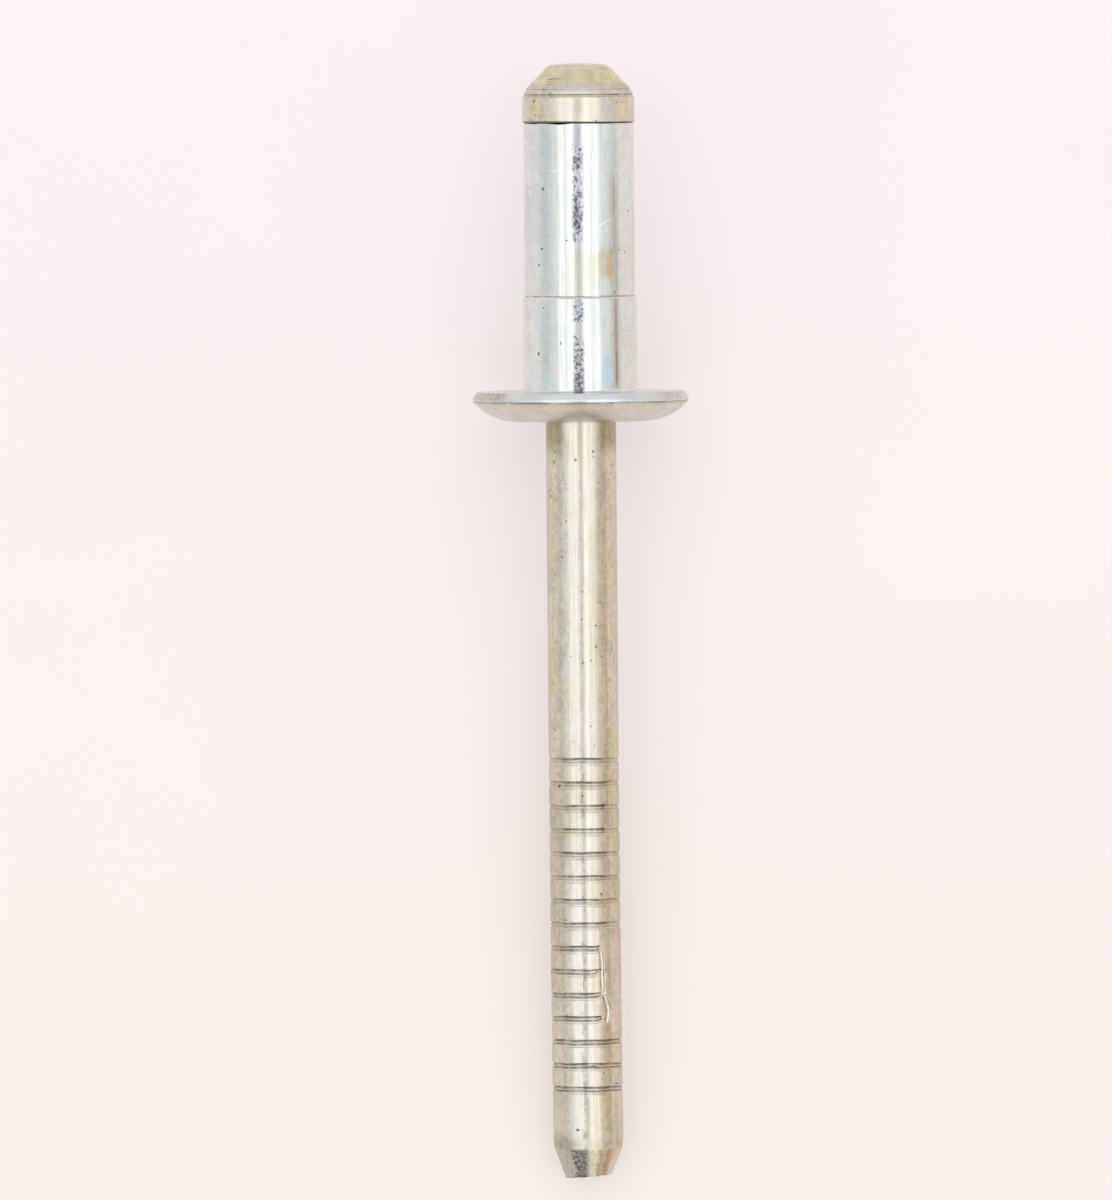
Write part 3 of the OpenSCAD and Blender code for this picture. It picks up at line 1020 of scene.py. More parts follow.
def paint_barrel(metal, finish, clouds):
    """Clouds, the broad tones to either side of the barrel, and its stains and rust."""
    g = metal.g
    tints = ((finish.mint, 0.28), (finish.warm, 0.4), (finish.slate, 0.35))
    for cloud, (tint, strength) in zip(clouds, tints):
        metal.paint(g.fade(cloud, *CLOUD_EDGE), tint, strength)
    barrel = g.fade(metal.station, 0.0, 0.3)
    left = g.product(g.fade(metal.turn, -118.0, -132.0), barrel)
    metal.paint(g.product(left, g.fade(metal.blotch, 0.3, 0.7, 0.2, 0.9)), finish.mint, 0.2)
    metal.paint(g.product(g.band(metal.turn, -127.0, -118.0, 2.5), barrel), finish.slate, 0.5)
    right = g.product(g.fade(metal.turn, -50.0, -40.0), barrel)
    metal.paint(right, finish.warm, 0.7)
    flank = g.product(g.band(metal.turn, -58.0, -45.0, 4.0), barrel)
    metal.paint(g.product(flank, g.fade(metal.station, 13.4, 11.5)), finish.flank, 0.85)
    dusk = g.product(g.fade(metal.turn, -122.0, -130.0), g.band(metal.station, 8.4, 11.4, 0.5))
    metal.paint(dusk, finish.slate, 0.45)
    metal.paint(metal.marks(SLEEVE_MINT), finish.mint)
    metal.paint(metal.marks(SLEEVE_ICE, square=True), finish.ice)
    uneven = g.fade(metal.blotch, 0.3, 0.62, 0.65, 1.0)
    metal.paint(g.product(metal.marks(SLEEVE_STAIN, square=True), uneven), finish.stain)
    metal.paint(metal.area((-83.0, -69.0, 3.0), (5.75, 7.9, 0.4)), finish.olive, 0.5)
    metal.paint(metal.area((-98.0, -84.0, 2.0), (5.6, 8.2, 0.3)), finish.olive, 0.35)
    metal.paint(metal.marks(SLEEVE_LENS_VIOLET, square=True, neat=True), finish.lens_violet)
    step = g.band(metal.station, 5.42, 5.5, 0.03)
    broken = g.fade(metal.blotch, 0.32, 0.55, 0.35, 1.0)
    metal.paint(g.product(step, broken), finish.rust, 0.75)
    metal.paint(metal.marks(SLEEVE_RUST, square=True, neat=True), finish.rust)


def paint_pits_and_lens_reflection(metal, finish):
    """The pitted line along the top of the barrel, under a painted reflection of the lens."""
    g = metal.g
    density = g.levels(metal.station, SLEEVE_PITS)
    stripe = g.band(g.math("ADD", metal.turn, g.product(metal.blotch, 4.0)), -94.3, -85.2, 2.4)
    dots = g.noise(metal.place, 6.5, 3.0, 0.7, (1.0, 1.0, 0.8))
    dots = g.fade(g.math("ADD", dots, g.product(density, 0.14)), 0.51, 0.67)
    stripe = g.product(stripe, g.fade(metal.station, -0.02, 0.08))
    # A painted reflection of the lens: violet, greyer towards the flange, darker where the pits are
    # dense
    shade = g.product(g.fade(density, 0.1, 1.0), stripe)
    metal.paint(shade, finish.lens_violet, 0.7)
    metal.paint(g.product(shade, g.fade(metal.station, 3.0, 2.2)), finish.ash, 0.6)
    pits = g.product(dots, stripe, g.fade(density, 0.05, 0.5))
    metal.paint(pits, finish.pit_and_lens_reflection, 0.9)
    metal.sink(pits, 0.9)


def scratch_barrel(metal, finish):
    """Specks, scratches, drawn lines, and dark lines in the highlights, two a painted reflection of
    the softboxes' seam.
    """
    g = metal.g
    metal.paint(metal.marks(SLEEVE_SPECKS, neat=True), finish.near_black)
    metal.paint(g.specks(metal.place, 1.5, 0.12, 0.14), finish.pit_and_lens_reflection, 0.75)
    metal.paint(g.specks(metal.place, 3.1, 0.16, 0.1), finish.slate, 0.8)
    scratches = metal.marks(SLEEVE_SCRATCHES, neat=True)
    metal.paint(scratches, finish.scratch)
    metal.sink(scratches, -0.8)
    centre = g.fade(metal.from_top(), 24.0, 36.0, 1.0, 0.3)
    metal.hairlines(centre, (0.82, 0.83, 0.84), 0.75)
    # Painted reflections of the seam between the softboxes, and shorter dark lines
    metal.paint(metal.marks(SLEEVE_LINES, square=True, neat=True), finish.slate)


def paint_rim(metal, finish, clouds):
    """The flange's rim, browner to either side."""
    g = metal.g
    rim = g.product(g.fade(metal.station, 0.01, -0.03), g.fade(metal.station, -0.5, -0.4))
    metal.paint(rim, finish.rim, 0.7)
    rim_sides = g.product(rim, g.fade(metal.from_top(), 36.0, 60.0))
    rim_sides = g.product(rim_sides, g.fade(clouds[1], 0.4, 0.55, 0.25, 1.0))
    metal.paint(rim_sides, finish.clay, 0.8)
    metal.tone(g.product(rim_sides, g.fade(metal.grain, 0.4, 0.55, 0.4, 1.0)), (0.76, 0.74, 0.66))
    brown = g.product(rim, g.band(metal.turn, -146.0, -136.0, 5.0), g.fade(metal.grain, 0.35, 0.55))
    metal.paint(brown, finish.grime, 0.55)
    metal.dull(rim, 0.3)


def paint_dome(metal, finish, clouds):
    """The flange's domed side, with rings from the forming and painted shade round the stem."""
    g = metal.g
    dome = g.fade(metal.station, -0.5, -0.6)
    rings = g.noise(g.join(metal.radius, metal.station), 14.0, 3.0, 0.7)
    metal.paint(dome, finish.dome, 0.9)
    metal.paint(g.product(dome, g.fade(rings, 0.46, 0.6)), finish.mauve, 0.65)
    yellowed = g.product(dome, g.fade(rings, 0.46, 0.34), g.fade(metal.blotch, 0.35, 0.6))
    metal.paint(yellowed, finish.olive, 0.45)
    metal.tone(g.product(dome, g.fade(clouds[0], 0.42, 0.58)), (0.9, 0.9, 0.88))
    outer = g.fade(metal.radius, 5.3, 6.0)
    metal.paint(g.product(dome, outer, g.fade(metal.blotch, 0.4, 0.6)), finish.olive, 0.5)
    # Painted shade round the stem's root, where the stem is reflected in the dome
    stem_shade = g.product(dome, g.fade(metal.radius, 4.0, 2.7))
    stem_shade = g.product(stem_shade, g.band(metal.turn, -172.0, -76.0, 12.0))
    stem_shade = g.product(stem_shade, g.fade(metal.grain, 0.3, 0.55, 0.55, 1.0))
    metal.paint(stem_shade, finish.grime, 0.9)
    metal.sink(g.product(rings, dome), 1.6)
    metal.dull(dome, 0.24)


def bright_zinc(finish):
    """Bluish zinc plate: mint and warm clouds, a pitted line on top under a painted lens reflection,
    stains and scratches.
    """
    metal = Metal("bright_zinc", finish.bright, finish.bright_rough, BARREL_R * MM)
    g = metal.g
    clouds = g.noises(metal.place, 0.8, 3.0, 0.6, (1.0, 1.0, 0.5))
    paint_barrel(metal, finish, clouds)
    metal.mottle(1.2, ((0.94, 0.99, 0.97), (0.95, 0.94, 0.95), (1.04, 1.03, 1.0)), 0.1)
    metal.mottle(3.6, ((0.94, 0.945, 0.96), (0.98, 1.01, 1.0), (1.03, 1.03, 1.03)), 0.1)
    paint_pits_and_lens_reflection(metal, finish)
    scratch_barrel(metal, finish)
    paint_rim(metal, finish, clouds)
    paint_dome(metal, finish, clouds)
    # Painted shade and dirt in the crease at the rim's upper edge, broken up
    grime = metal.grime()
    patchy = g.fade(g.noise(metal.place, 0.9, 3.0, 0.6), 0.4, 0.6, 0.3, 0.85)
    metal.paint(g.product(grime, patchy), finish.grime, 0.8)
    return metal.finish(distance=0.006)


# ---------------------------------------------------------------- the mandrel's finish

# Specks of dirt and pits, which are drawn grown
MANDREL_SPECKS = (
    (-138.0, -3.4, 0.05, 0.07, 0.0, 0.55),
    (-140.7, -4.0, 0.04, 0.12, 15.0, 0.6),
    (-99.5, -3.87, 0.06, 0.07, 0.0, 0.75),
    (-70.2, -3.4, 0.05, 0.09, 0.0, 0.75),
    (-71.5, -3.72, 0.03, 0.06, 0.0, 0.5),
    (-28.9, -4.24, 0.06, 0.08, 0.0, 0.5),
    (-157.5, -5.74, 0.03, 0.22, 0.0, 0.6),
    (-150.2, -5.96, 0.05, 0.12, -25.0, 0.6),
    (-151.5, -5.6, 0.03, 0.15, 15.0, 0.5),
    (-117.0, -5.25, 0.04, 0.05, 0.0, 0.5),
    (-116.5, -7.36, 0.05, 0.05, 0.0, 0.65),
    (-13.0, -7.75, 0.05, 0.25, 0.0, 0.55),
    (-90.5, -11.4, 0.04, 0.05, 0.0, 0.55),
    (-68.0, -13.35, 0.05, 0.05, 0.0, 0.7),
    (-68.0, -14.55, 0.05, 0.07, 0.0, 0.7),
    (-77.0, -15.35, 0.04, 0.07, 0.0, 0.6),
    (-110.0, -15.1, 0.04, 0.05, 0.0, 0.5),
    (-78.0, -19.1, 0.04, 0.05, 0.0, 0.6),
    (-72.0, -20.2, 0.04, 0.05, 0.0, 0.5),
    (-135.4, -22.53, 0.07, 0.07, 0.0, 0.95),
    (-57.7, -23.72, 0.04, 0.2, 0.0, 0.5),
    (-105.4, -42.19, 0.06, 0.06, 0.0, 0.95),
)
# Longer and broader marks, which are drawn as they are
MANDREL_NICKS = (
    (-35.0, -14.6, 0.05, 0.3, 8.0, 0.45),
    (-28.0, -15.3, 0.04, 0.4, -8.0, 0.4),
    (-8.0, -22.55, 0.12, 0.1, 0.0, 0.7),
    (-62.5, -28.7, 0.1, 0.1, 0.0, 0.8),
    (-77.5, -38.55, 0.32, 0.06, 0.0, 0.75),
    (-144.0, -39.98, 0.35, 0.07, 0.0, 0.6),
    (-32.0, -39.6, 0.3, 0.07, 0.0, 0.65),
)
MANDREL_OLIVE = (
    (-152.0, -3.2, 0.35, 1.3, 0.0, 0.6),
    (-146.0, -7.0, 0.4, 1.6, 0.0, 0.55),
    (-24.0, -5.4, 0.35, 1.2, 0.0, 0.75),
    (-32.0, -6.1, 0.12, 0.35, 0.0, 0.8),
    (-150.0, -15.6, 0.45, 2.0, 0.0, 0.7),
    (-33.0, -12.0, 0.3, 2.6, 0.0, 0.55),
    (-35.0, -20.2, 0.4, 1.0, 0.0, 0.85),
    (-30.0, -25.4, 0.3, 0.6, 0.0, 0.55),
    (-25.0, -28.5, 0.3, 1.2, 0.0, 0.65),
    (-42.0, -38.0, 0.2, 1.4, 0.0, 0.65),
    (-54.0, -41.3, 0.4, 1.3, 0.0, 0.55),
)
MANDREL_PINK = (
    (-150.0, -22.2, 0.4, 0.5, 0.0, 0.75),
    (-27.0, -22.2, 0.35, 0.45, 0.0, 0.6),
    (-20.0, -17.5, 0.35, 2.4, 0.0, 0.5),
    (-100.0, -19.0, 0.2, 1.5, 0.0, 0.3),
    (-145.0, -31.6, 0.4, 0.6, 0.0, 0.6),
    (-15.0, -41.2, 0.4, 1.3, 0.0, 0.6),
    (-30.0, -33.5, 0.6, 3.0, 0.0, 0.6),
)
MANDREL_STAIN = (
    (-59.0, -41.2, 0.3, 1.1, 0.0, 0.4),
    (-52.0, -40.6, 0.22, 0.7, 0.0, 0.4),
    (-46.0, -37.6, 0.16, 1.3, 0.0, 0.4),
    (-66.0, -44.1, 0.18, 0.75, 0.0, 0.85),
    (-50.0, -44.1, 0.12, 0.75, 0.0, 0.7),
)
HEAD_OLIVE = (
    (-142.0, 16.15, 0.28, 0.6, 0.0, 0.85),
    (-34.0, 15.95, 0.3, 0.5, 0.0, 0.7),
)
HEAD_SPECKS = (
    (-141.9, 16.62, 0.04, 0.09, 0.0, 0.65),
    (-139.0, 15.8, 0.03, 0.05, 0.0, 0.5),
    (-44.1, 18.42, 0.035, 0.05, 0.0, 0.65),
    (-48.9, 17.87, 0.04, 0.05, 0.0, 0.55),
    (-47.0, 16.5, 0.03, 0.05, 0.0, 0.5),
)
HEAD_LINES = (
    (-125.0, 17.86, 0.42, 0.05, 3.0, 0.55),
    (-132.0, 17.72, 0.2, 0.03, 0.0, 0.5),
)
# The bare spot on the nose
HEAD_SCUFF = ((-109.0, 17.75, 0.12, 0.03, 15.0, 0.9),)
# Streaks along the taper, as (from, to, softness, colour, strength), in turns
TAPER_STREAKS = (
    (-76.0, -60.0, 3.0, "nose", 0.75),
    (-59.0, -34.0, 4.0, "oil", 0.9),
    (-54.5, -49.0, 3.0, "olive", 0.8),
    (-30.0, 20.0, 5.0, "sand", 0.8),
)


# How much wider and longer specks are drawn than their tables say, and their least half length
SPECK_WIDER = 1.7
SPECK_LONGER = 1.3
SPECK_LEAST = 0.07


def grown(rows):
    """Specks as marks of the size in which they are drawn."""
    marks = []
    for turn, station, wide, long, lean, strength in rows:
        long = max(long * SPECK_LONGER, SPECK_LEAST)
        marks.append((turn, station, wide * SPECK_WIDER, long, lean, strength))
    return tuple(marks)


def paint_stem(metal, finish, stem, left):
    """The broad tones to either side of the stem, and its patches and stains."""
    g = metal.g
    metal.paint(left, finish.clay, 0.7)
    warm = g.product(stem, g.band(metal.turn, -80.0, -66.0, 4.0))
    metal.paint(warm, finish.tan, 0.3)
    tan = g.product(stem, g.band(metal.turn, -64.0, -44.0, 4.0))
    metal.paint(g.product(tan, g.fade(metal.blotch, 0.3, 0.6, 0.7, 1.0)), finish.tan, 0.85)
    right = g.product(stem, g.fade(metal.turn, -44.0, -36.0))
    metal.paint(right, finish.sand, 0.75)
    metal.paint(metal.marks(MANDREL_OLIVE, square=True), finish.olive)
    metal.paint(metal.marks(MANDREL_PINK, square=True), finish.pink)
    metal.paint(metal.marks(MANDREL_STAIN, square=True), finish.stain)


def paint_head(metal, finish):
    """The olive nose, the creases of the shoulder, and the band with a painted shadow below it."""
    g = metal.g
    nose = g.fade(metal.station, 17.55, 17.75)
    metal.paint(g.product(nose, g.fade(metal.blotch, 0.3, 0.6, 0.6, 1.0)), finish.nose, 0.9)
    # Painted shade on the nose's slightly domed face, seen edge on, full at the top and left
    nose_edge_shade = g.fade(metal.station, 18.48, 18.62)
    nose_edge_shade = g.product(nose_edge_shade, g.fade(metal.turn, -60.0, -84.0, 0.25, 1.0))
    metal.paint(nose_edge_shade, finish.mauve, 0.75)
    sway = g.math("ADD", metal.station, g.product(metal.blotch, 0.16))
    metal.paint(g.band(sway, 17.34, 17.7, 0.08), finish.mauve, 0.4)
    ring = g.band(metal.station, 16.95, 17.6, 0.08)
    metal.paint(ring, finish.clay, 0.4)
    metal.dull(ring, 0.42)
    # Painted shade, with some dirt, along the two creases of the shoulder
    crease_shade = g.band(metal.station, 16.92, 17.0, 0.02)
    crease_shade = g.math("ADD", crease_shade, g.product(g.band(metal.station, 17.24, 17.29, 0.02), 0.6))
    metal.paint(g.product(crease_shade, g.fade(metal.blotch, 0.3, 0.6, 0.35, 0.8)), finish.grime)
    head = g.band(metal.station, 15.36, 16.9, 0.02)
    side = g.fade(metal.from_top(), 38.0, 50.0)
    metal.paint(g.product(head, side), finish.clay, 0.6)
    metal.paint(g.product(head, g.fade(metal.turn, -58.0, -46.0)), finish.sand, 0.5)
    metal.paint(metal.marks(HEAD_OLIVE, square=True), finish.nose)
    metal.paint(metal.area((-66.0, -58.0, 3.0), (15.6, 16.7, 0.15)), finish.pink, 0.7)
    # Painted shadow in the gap between the head's foot and the sleeve's end, reaching higher on the
    # left
    gap_shadow = g.math("ADD", metal.station, g.product(g.fade(metal.turn, -70.0, -110.0), -0.04))
    metal.paint(g.band(gap_shadow, 15.0, 15.42, 0.02), finish.grime, 0.9)
    metal.paint(metal.marks(grown(HEAD_SPECKS) + HEAD_LINES, neat=True), finish.grime)
    metal.paint(metal.marks(HEAD_SCUFF, neat=True), finish.scuff)


def shade_stem(metal, cloud, stem, left, away):
    """Painted shade at the stem's sides and below the flange, and duller patchy tones on the upper
    grooves' flanks.
    """
    g = metal.g
    # Painted shade along the stem's outer edges
    metal.tone(g.product(stem, g.fade(away, 64.0, 76.0)), (0.88, 0.88, 0.87))
    # Painted shade on the stem's flanks just below the flange
    under_flange_shade = g.product(g.fade(metal.station, -3.9, -2.6), stem, g.fade(away, 22.0, 40.0))
    metal.tone(under_flange_shade, (0.62, 0.6, 0.5))
    grooved_flanks = g.product(g.band(metal.station, -34.0, -21.5, 0.6), g.fade(away, 34.0, 46.0))
    grooved_flanks = g.product(grooved_flanks, g.fade(cloud, 0.4, 0.58, 0.3, 1.0))
    metal.tone(grooved_flanks, (0.93, 0.92, 0.87))
    metal.tone(g.product(grooved_flanks, left), (0.96, 0.96, 0.98))


def stem_dirt_and_painted_light(metal, finish, stem, away):
    """Dirt and painted shade in the grooves, painted edge highlights, specks, and a painted lens
    reflection along the top.
    """
    g = metal.g
    # Dirt and painted shade in the grooves and trenches, patchy, halved on the flanks of the upper
    # grooves
    grime = metal.grime()
    patchiness = g.fade(g.noise(metal.place, 2.2, 3.0, 0.6), 0.32, 0.6, 0.35, 0.95)
    upper = g.product(g.fade(metal.station, -32.5, -30.5), g.fade(away, 30.0, 50.0))
    patchiness = g.product(patchiness, g.fade(upper, 0.0, 1.0, 1.0, 0.5))
    metal.paint(g.product(g.fade(grime, 0.0, 1.0), patchiness), finish.grime, 0.9)
    # Painted highlight on the thin raised edges beside the plain strip
    metal.paint(g.fade(grime, -0.1, -0.7), finish.edge_highlight, 0.8)
    specks = metal.marks(grown(MANDREL_SPECKS) + MANDREL_NICKS, neat=True)
    metal.paint(specks, finish.near_black, 0.85)
    metal.paint(g.specks(metal.place, 1.9, 0.15, 0.2), finish.grime, 0.8)
    metal.paint(g.specks(metal.place, 3.3, 0.2, 0.12), finish.mauve, 0.8)
    # Painted reflection of the lens: dark blotches along the stem's top, stronger over the grooves
    lens_smudges = g.noise(metal.place, 2.4, 3.0, 0.7, (0.9, 0.9, 0.7))
    lens_smudges = g.product(g.fade(lens_smudges, 0.45, 0.62), g.band(metal.turn, -97.0, -89.0, 4.0), stem)
    low = g.fade(metal.station, -18.0, -22.0, 0.35, 1.0)
    metal.paint(g.product(lens_smudges, low), finish.pit_and_lens_reflection, 0.45)
    metal.hairlines(stem, (0.84, 0.83, 0.82), 0.7)


def paint_taper(metal, finish):
    """The taper with its ragged streaks, the sheared end face, and the dull crowning above them,
    shaded on its left.
    """
    g = metal.g
    taper = g.fade(metal.station, -43.25, -43.42)
    ragged = g.noise(metal.place, 5.0, 3.0, 0.75, (1.0, 1.0, 2.0))
    turn = g.math("ADD", metal.turn, g.math("ADD", g.product(ragged, 34.0), -10.0))
    lines = g.noise(metal.place, 5.0, 2.0, 0.6, (0.5, 0.5, 4.0))
    metal.paint(g.product(taper, g.band(turn, -178.0, -116.0, 5.0)), finish.ash, 0.75)
    metal.paint(g.product(taper, g.fade(lines, 0.52, 0.6)), finish.mauve, 0.6)
    for low, high, soft, tint, strength in TAPER_STREAKS:
        streak = g.product(taper, g.band(turn, low, high, soft))
        metal.paint(streak, getattr(finish, tint), strength)
    # A near-black ragged patch across the middle of the taper
    black = g.product(taper, g.band(turn, -111.0, -81.0, 6.0))
    metal.paint(g.product(black, g.fade(ragged, 0.36, 0.6, 0.5, 1.0)), finish.near_black, 0.86)
    metal.sink(g.product(black, ragged), 1.0)
    metal.tone(g.product(taper, g.fade(ragged, 0.5, 0.62)), (0.82, 0.8, 0.76))
    metal.tone(g.product(taper, g.fade(ragged, 0.47, 0.38)), (1.1, 1.1, 1.06))
    metal.dull(taper, 0.28)
    sheared = g.product(taper, g.fade(metal.radius, 1.32, 1.2))
    shear = g.noise(metal.place, 3.0, 3.0, 0.7, (0.4, 3.0, 1.0))
    metal.paint(sheared, finish.ash, 0.9)
    metal.tone(g.product(sheared, g.fade(shear, 0.4, 0.6)), (0.6, 0.58, 0.56))
    metal.sink(g.product(sheared, shear), 4.0)
    # Painted shade on the crowning before the taper, full on the left
    soft = g.product(g.band(metal.station, -43.4, -42.7, 0.45), g.fade(taper, 1.0, 0.0))
    metal.tone(g.product(soft, g.fade(metal.turn, -88.0, -122.0, 0.25, 1.0)), (0.68, 0.69, 0.71))
    metal.dull(soft, 0.26)


def yellow_zinc(finish):
    """Pale yellow passivated zinc: olive, pink and tan clouds, specks, and grooves darkened by dirt
    and painted shade.
    """
    metal = Metal("yellow_zinc", finish.yellow, finish.yellow_rough, STEM_R * MM)
    g = metal.g
    clouds = g.noises(metal.place, 0.7, 3.0, 0.6, (1.0, 1.0, 0.55))
    metal.paint(g.fade(clouds[0], *CLOUD_EDGE), finish.pink, 0.25)
    metal.paint(g.fade(clouds[1], *CLOUD_EDGE), finish.olive, 0.4)
    stem = g.fade(metal.station, 0.0, -0.5)
    left = g.product(stem, g.fade(metal.turn, -122.0, -134.0))
    paint_stem(metal, finish, stem, left)
    paint_head(metal, finish)
    tones = ((1.0, 0.97, 0.98), (0.99, 1.0, 0.89), (0.88, 0.9, 0.9))
    metal.mottle(1.1, tones, 0.3, (1.0, 1.0, 0.6))
    metal.mottle(2.8, ((1.03, 0.98, 0.98), (0.97, 0.98, 0.88), (0.86, 0.87, 0.87)), 0.25)
    away = metal.from_top()
    shade_stem(metal, clouds[2], stem, left, away)
    stem_dirt_and_painted_light(metal, finish, stem, away)
    paint_taper(metal, finish)
    return metal.finish(distance=0.008)


def floor_paper(finish):
    """Matt pale paper with the faintest mottling."""
    material = bpy.data.materials.new("floor_paper")
    material.use_nodes = True
    g = Graph(material.node_tree)
    place = g.add("ShaderNodeTexCoord").outputs["Object"]
    mottle = g.fade(g.noise(place, 30.0, 3.0), 0.3, 0.7)
    warmth = g.fade(g.split(place)[1], 0.035, -0.045)
    base = g.mix(warmth, finish.floor, finish.floor_warm)
    base = g.mix(mottle, base, (PAPER_MOTTLE,) * 3, "MULTIPLY")
    duller = g.mix(1.0, base, (PAPER_SCATTER,) * 3, "MULTIPLY")
    inputs = {"Base Color": duller, "Roughness": 1.0, "Specular IOR Level": 0.0}
    matt = g.add("ShaderNodeBsdfPrincipled", inputs).outputs[0]
    lit = g.add("ShaderNodeEmission", {"Color": base, "Strength": 1.0}).outputs[0]
    path = g.add("ShaderNodeLightPath").outputs
    seen = g.math("ADD", path["Is Camera Ray"], path["Is Glossy Ray"])
    seen = g.math("MINIMUM", g.math("ADD", seen, path["Is Transmission Ray"]), 1.0)
    share = g.math("MULTIPLY", seen, FLOOR_LIFT)
    shown = g.add("ShaderNodeMixShader", {0: share, 1: matt, 2: lit})
    g.add("ShaderNodeOutputMaterial", {"Surface": shown.outputs[0]})
    return material


# ---------------------------------------------------------------- the studio


def camera_axes(studio):
    """The camera's right, up and back directions."""
    lean, roll = math.radians(studio.lean), math.radians(studio.roll)
    back = Vector((0.0, -math.sin(lean), math.cos(lean)))
    level = Vector((0.0, math.cos(lean), math.sin(lean)))
    right = across * math.cos(roll) + level * math.sin(roll)
    return right, back.cross(right), back


def add_camera(studio):
    """A long lens looking almost straight down on the rivet."""
    right, up, back = camera_axes(studio)
    aim = seat_centre + (right * studio.aim_right + up * studio.aim_up) / MM
    data = bpy.data.cameras.new("camera")
    data.lens = studio.lens
    data.clip_start, data.clip_end = CLIP
    camera = bpy.data.objects.new("camera", data)
    turn = Matrix((right, up, back)).transposed()
    camera.matrix_world = Matrix.Translation(aim + back * studio.distance / MM) @ turn.to_4x4()
    bpy.context.scene.collection.objects.link(camera)
    bpy.context.scene.camera = camera


def add_floor(studio, finish):
    """The plain floor that the rivet lies on."""
    half = studio.floor_size / MM
    corners = [(-half, -half, 0.0), (half, -half, 0.0), (half, half, 0.0), (-half, half, 0.0)]
    mesh = bpy.data.meshes.new("floor")
    mesh.from_pydata(corners, [], [(0, 1, 2, 3)])
    floor = bpy.data.objects.new("floor", mesh)
    bpy.context.scene.collection.objects.link(floor)
    mesh.materials.append(floor_paper(finish))


# Levels of the light over the rivet, as (degrees to the right of the lens, share of the
# softbox level) and (degrees to either side, share of the room level)
SOFTBOXES = (
    (-47.0, 0.68),
    (-45.0, 0.72),
    (-43.0, 0.92),
    (-35.0, 0.96),
    (-31.0, 0.88),
    (-28.0, 0.74),
    (-25.0, 0.8),
    (-22.0, 1.0),
    (-13.0, 1.03),
    (-10.5, 0.84),
    (-8.0, 0.58),
    (3.5, 0.62),
    (6.0, 0.92),
    (9.0, 1.06),
    (19.0, 1.02),
    (25.0, 0.84),
    (28.0, 0.8),
    (31.0, 0.96),
    (35.0, 1.0),
    (40.0, 0.94),
    (44.0, 0.66),
    (47.0, 0.62),
)
WALLS = (
    (0.0, 0.98),
    (48.0, 0.98),
    (57.0, 0.97),
    (65.0, 0.91),
    (73.0, 0.81),
    (82.0, 0.78),
    (88.0, 0.88),
    (90.0, 0.93),
)


# Where the softboxes end to either side and along the rivet, in degrees, as (from, to, softness)
BOX_SIDES = (-1.0, 47.0, 2.0)
BOX_ENDS = (-52.0, 56.0, 6.0)
# The shade beyond their near ends and round the lens, in degrees, as (from, to, level, level)
NEAR_SHADE = (-30.0, -52.0, 1.0, 0.7)
LENS_SHADE = (2.2, 4.4, 0.6, 1.0)
# The far wall, in degrees, as (from, to, softness)
FAR_WALL = (58.0, 74.0, 3.0)


def light_room(studio, finish):
    """A world that is a room: two long softboxes over the rivet, with the lens between them."""
    _, _, back = camera_axes(studio)
    ahead = back.cross(across)
    world = bpy.data.worlds.new("studio")
    world.use_nodes = True
    bpy.context.scene.world = world
    g = Graph(world.node_tree)
    way = g.add("ShaderNodeTexCoord").outputs["Generated"]

    def along(vector):
        """The share of the light's way that runs along a vector."""
        return g.vector_value("DOT_PRODUCT", way, vector)

    turn = g.math("DEGREES", g.math("ARCTAN2", along(across), along(back)))
    tilt = g.math("DEGREES", g.math("ARCSINE", along(ahead)))
    level = g.product(g.levels(turn, SOFTBOXES), studio.softbox)
    wall = g.product(g.levels(g.math("ABSOLUTE", turn), WALLS), studio.room)
    boxes = g.band(g.math("ABSOLUTE", turn), *BOX_SIDES)
    boxes = g.product(boxes, g.band(tilt, *BOX_ENDS))
    level = g.mix_value(boxes, wall, level)
    level = g.product(level, g.fade(tilt, *NEAR_SHADE))
    far = g.band(tilt, *FAR_WALL)
    level = g.product(level, g.fade(far, 0.0, 1.0, 1.0, studio.ahead))
    lens = g.math("DEGREES", g.math("ARCCOSINE", along(back)))
    level = g.product(level, g.fade(lens, *LENS_SHADE))
    above = g.fade(g.split(way)[2], -0.01, 0.01)
    level = g.mix_value(above, studio.glow, level)
    seen = g.add("ShaderNodeLightPath").outputs["Is Camera Ray"]
    shade = g.mix(g.fade(tilt, 70.0, 78.0), EVEN, finish.floor)
    room = g.add("ShaderNodeBackground", {"Color": shade, "Strength": level})
    backdrop = g.add("ShaderNodeBackground", {"Color": opaque(finish.floor), "Strength": 1.0})
    shown = g.add("ShaderNodeMixShader", {0: seen, 1: room.outputs[0], 2: backdrop.outputs[0]})
    g.add("ShaderNodeOutputWorld", {"Surface": shown.outputs[0]})


# ---------------------------------------------------------------- operators and panel


class RIVET_OT_sleeve(bpy.types.Operator):
    """Makes the flanged sleeve in bright zinc"""

    bl_idname = "rivet.sleeve"
    bl_label = "Make sleeve"

    def execute(self, context):
        z = in_mm(context.scene.rivet_sleeve)
        turns = turns_round(front_step=1.5, back_step=3.0)
        outline = sleeve_outline(z)
        piece = turned_mesh("flanged_sleeve", outline, turns, shape_sleeve(z), closed=True)
        hand_over(piece, bright_zinc(in_mm(context.scene.rivet_finish)), "sleeve")
        return {"FINISHED"}


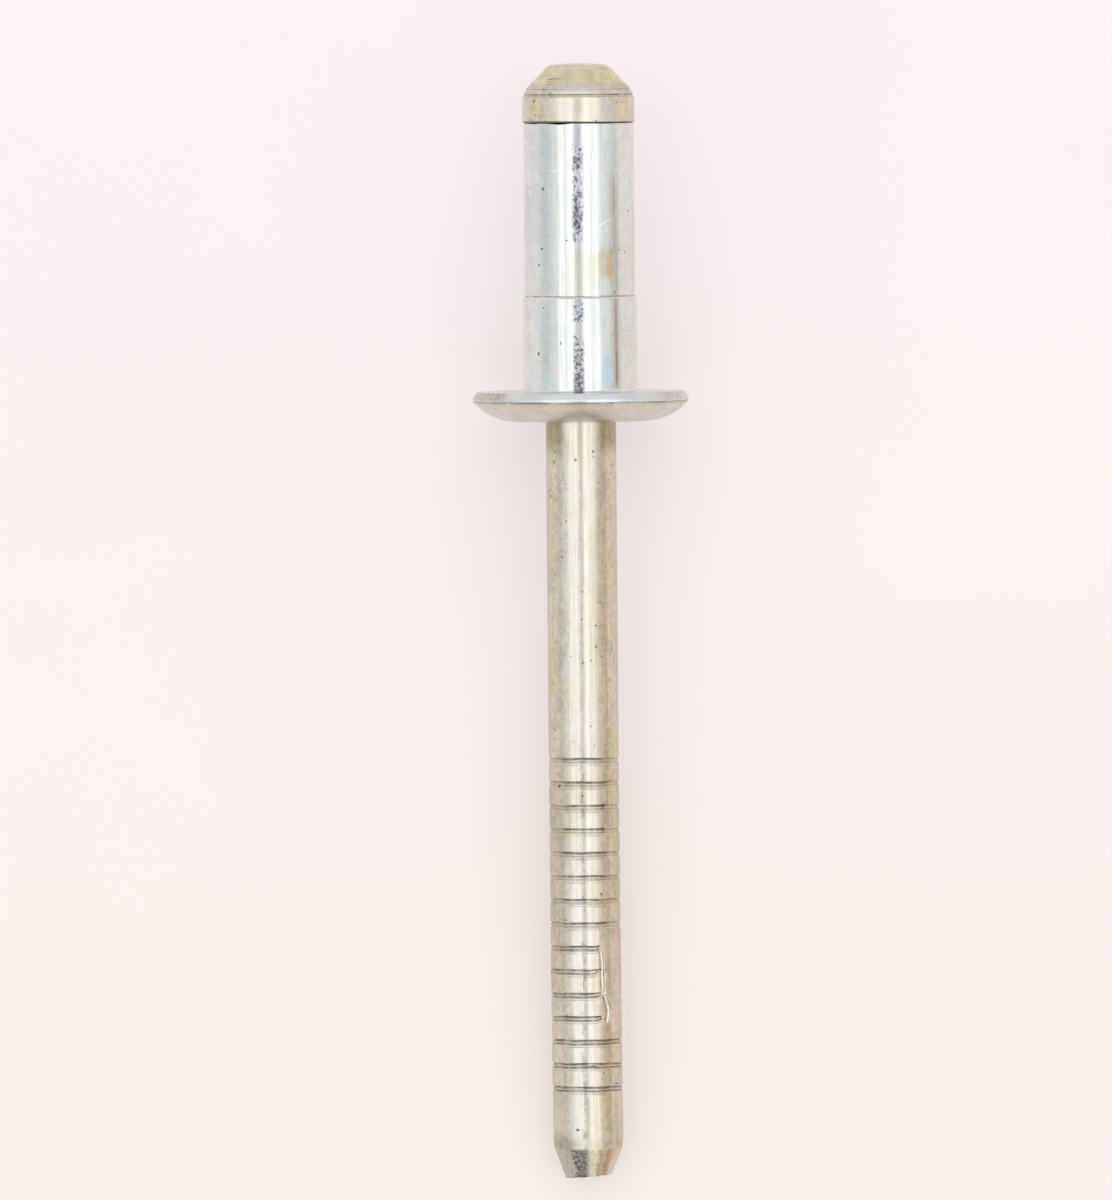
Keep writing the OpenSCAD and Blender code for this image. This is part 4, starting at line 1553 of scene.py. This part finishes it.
class RIVET_OT_mandrel(bpy.types.Operator):
    """Makes the pulling mandrel in yellow zinc"""

    bl_idname = "rivet.mandrel"
    bl_label = "Make mandrel"

    def execute(self, context):
        z = in_mm(context.scene.rivet_mandrel)
        # Finest round the edges beside the plain strip
        fine = (z.strip_from - 12.0, z.strip_from + 20.0, 0.5)
        turns = turns_round(front_step=1.5, back_step=3.6, fine=fine)
        outline = mandrel_outline(z)
        piece = turned_mesh("pulling_mandrel", outline, turns, shape_mandrel(z), closed=False)
        bend_stem(piece.data, z)
        hand_over(piece, yellow_zinc(in_mm(context.scene.rivet_finish)), "mandrel")
        return {"FINISHED"}


class RIVET_OT_stage(bpy.types.Operator):
    """Makes the floor, the camera and the light of the room"""

    bl_idname = "rivet.stage"
    bl_label = "Make stage"

    def execute(self, context):
        studio = in_mm(context.scene.rivet_studio)
        finish = in_mm(context.scene.rivet_finish)
        add_camera(studio)
        add_floor(studio, finish)
        light_room(studio, finish)
        context.scene.view_settings.view_transform = "Standard"
        return {"FINISHED"}


class RIVET_PT_panel(bpy.types.Panel):
    """Lists the rivet's sizes, its finishes and the buttons that make it"""

    bl_idname = "RIVET_PT_panel"
    bl_label = "Structural Blind Rivet"
    bl_space_type = "VIEW_3D"
    bl_region_type = "UI"
    bl_category = "Rivet"

    def draw(self, context):
        for title, name, operator in STEPS:
            box = self.layout.box()
            box.label(text=title)
            group = getattr(context.scene, name)
            for value in group.__annotations__:
                box.prop(group, value)
            if operator:
                box.operator(operator)


# The panel's boxes, as (title, property group, operator)
STEPS = (
    ("Finishes", "rivet_finish", None),
    ("Sleeve", "rivet_sleeve", "rivet.sleeve"),
    ("Mandrel", "rivet_mandrel", "rivet.mandrel"),
    ("Studio", "rivet_studio", "rivet.stage"),
)
GROUPS = {
    "rivet_sleeve": SleeveSizes,
    "rivet_mandrel": MandrelSizes,
    "rivet_finish": RivetFinish,
    "rivet_studio": RivetStudio,
}
CLASSES = (
    SleeveSizes,
    MandrelSizes,
    RivetFinish,
    RivetStudio,
    RIVET_OT_sleeve,
    RIVET_OT_mandrel,
    RIVET_OT_stage,
    RIVET_PT_panel,
)


def register():
    """Adds the classes and the scene's property groups."""
    for item in CLASSES:
        bpy.utils.register_class(item)
    for name, group in GROUPS.items():
        setattr(bpy.types.Scene, name, PointerProperty(type=group))


def unregister():
    """Takes away the scene's property groups and the classes."""
    for name in GROUPS:
        delattr(bpy.types.Scene, name)
    for item in reversed(CLASSES):
        bpy.utils.unregister_class(item)


def main():
    """Makes the rivet and its stage."""
    register()
    bpy.ops.rivet.sleeve()
    bpy.ops.rivet.mandrel()
    bpy.ops.rivet.stage()


if __name__ == "__main__":
    main()
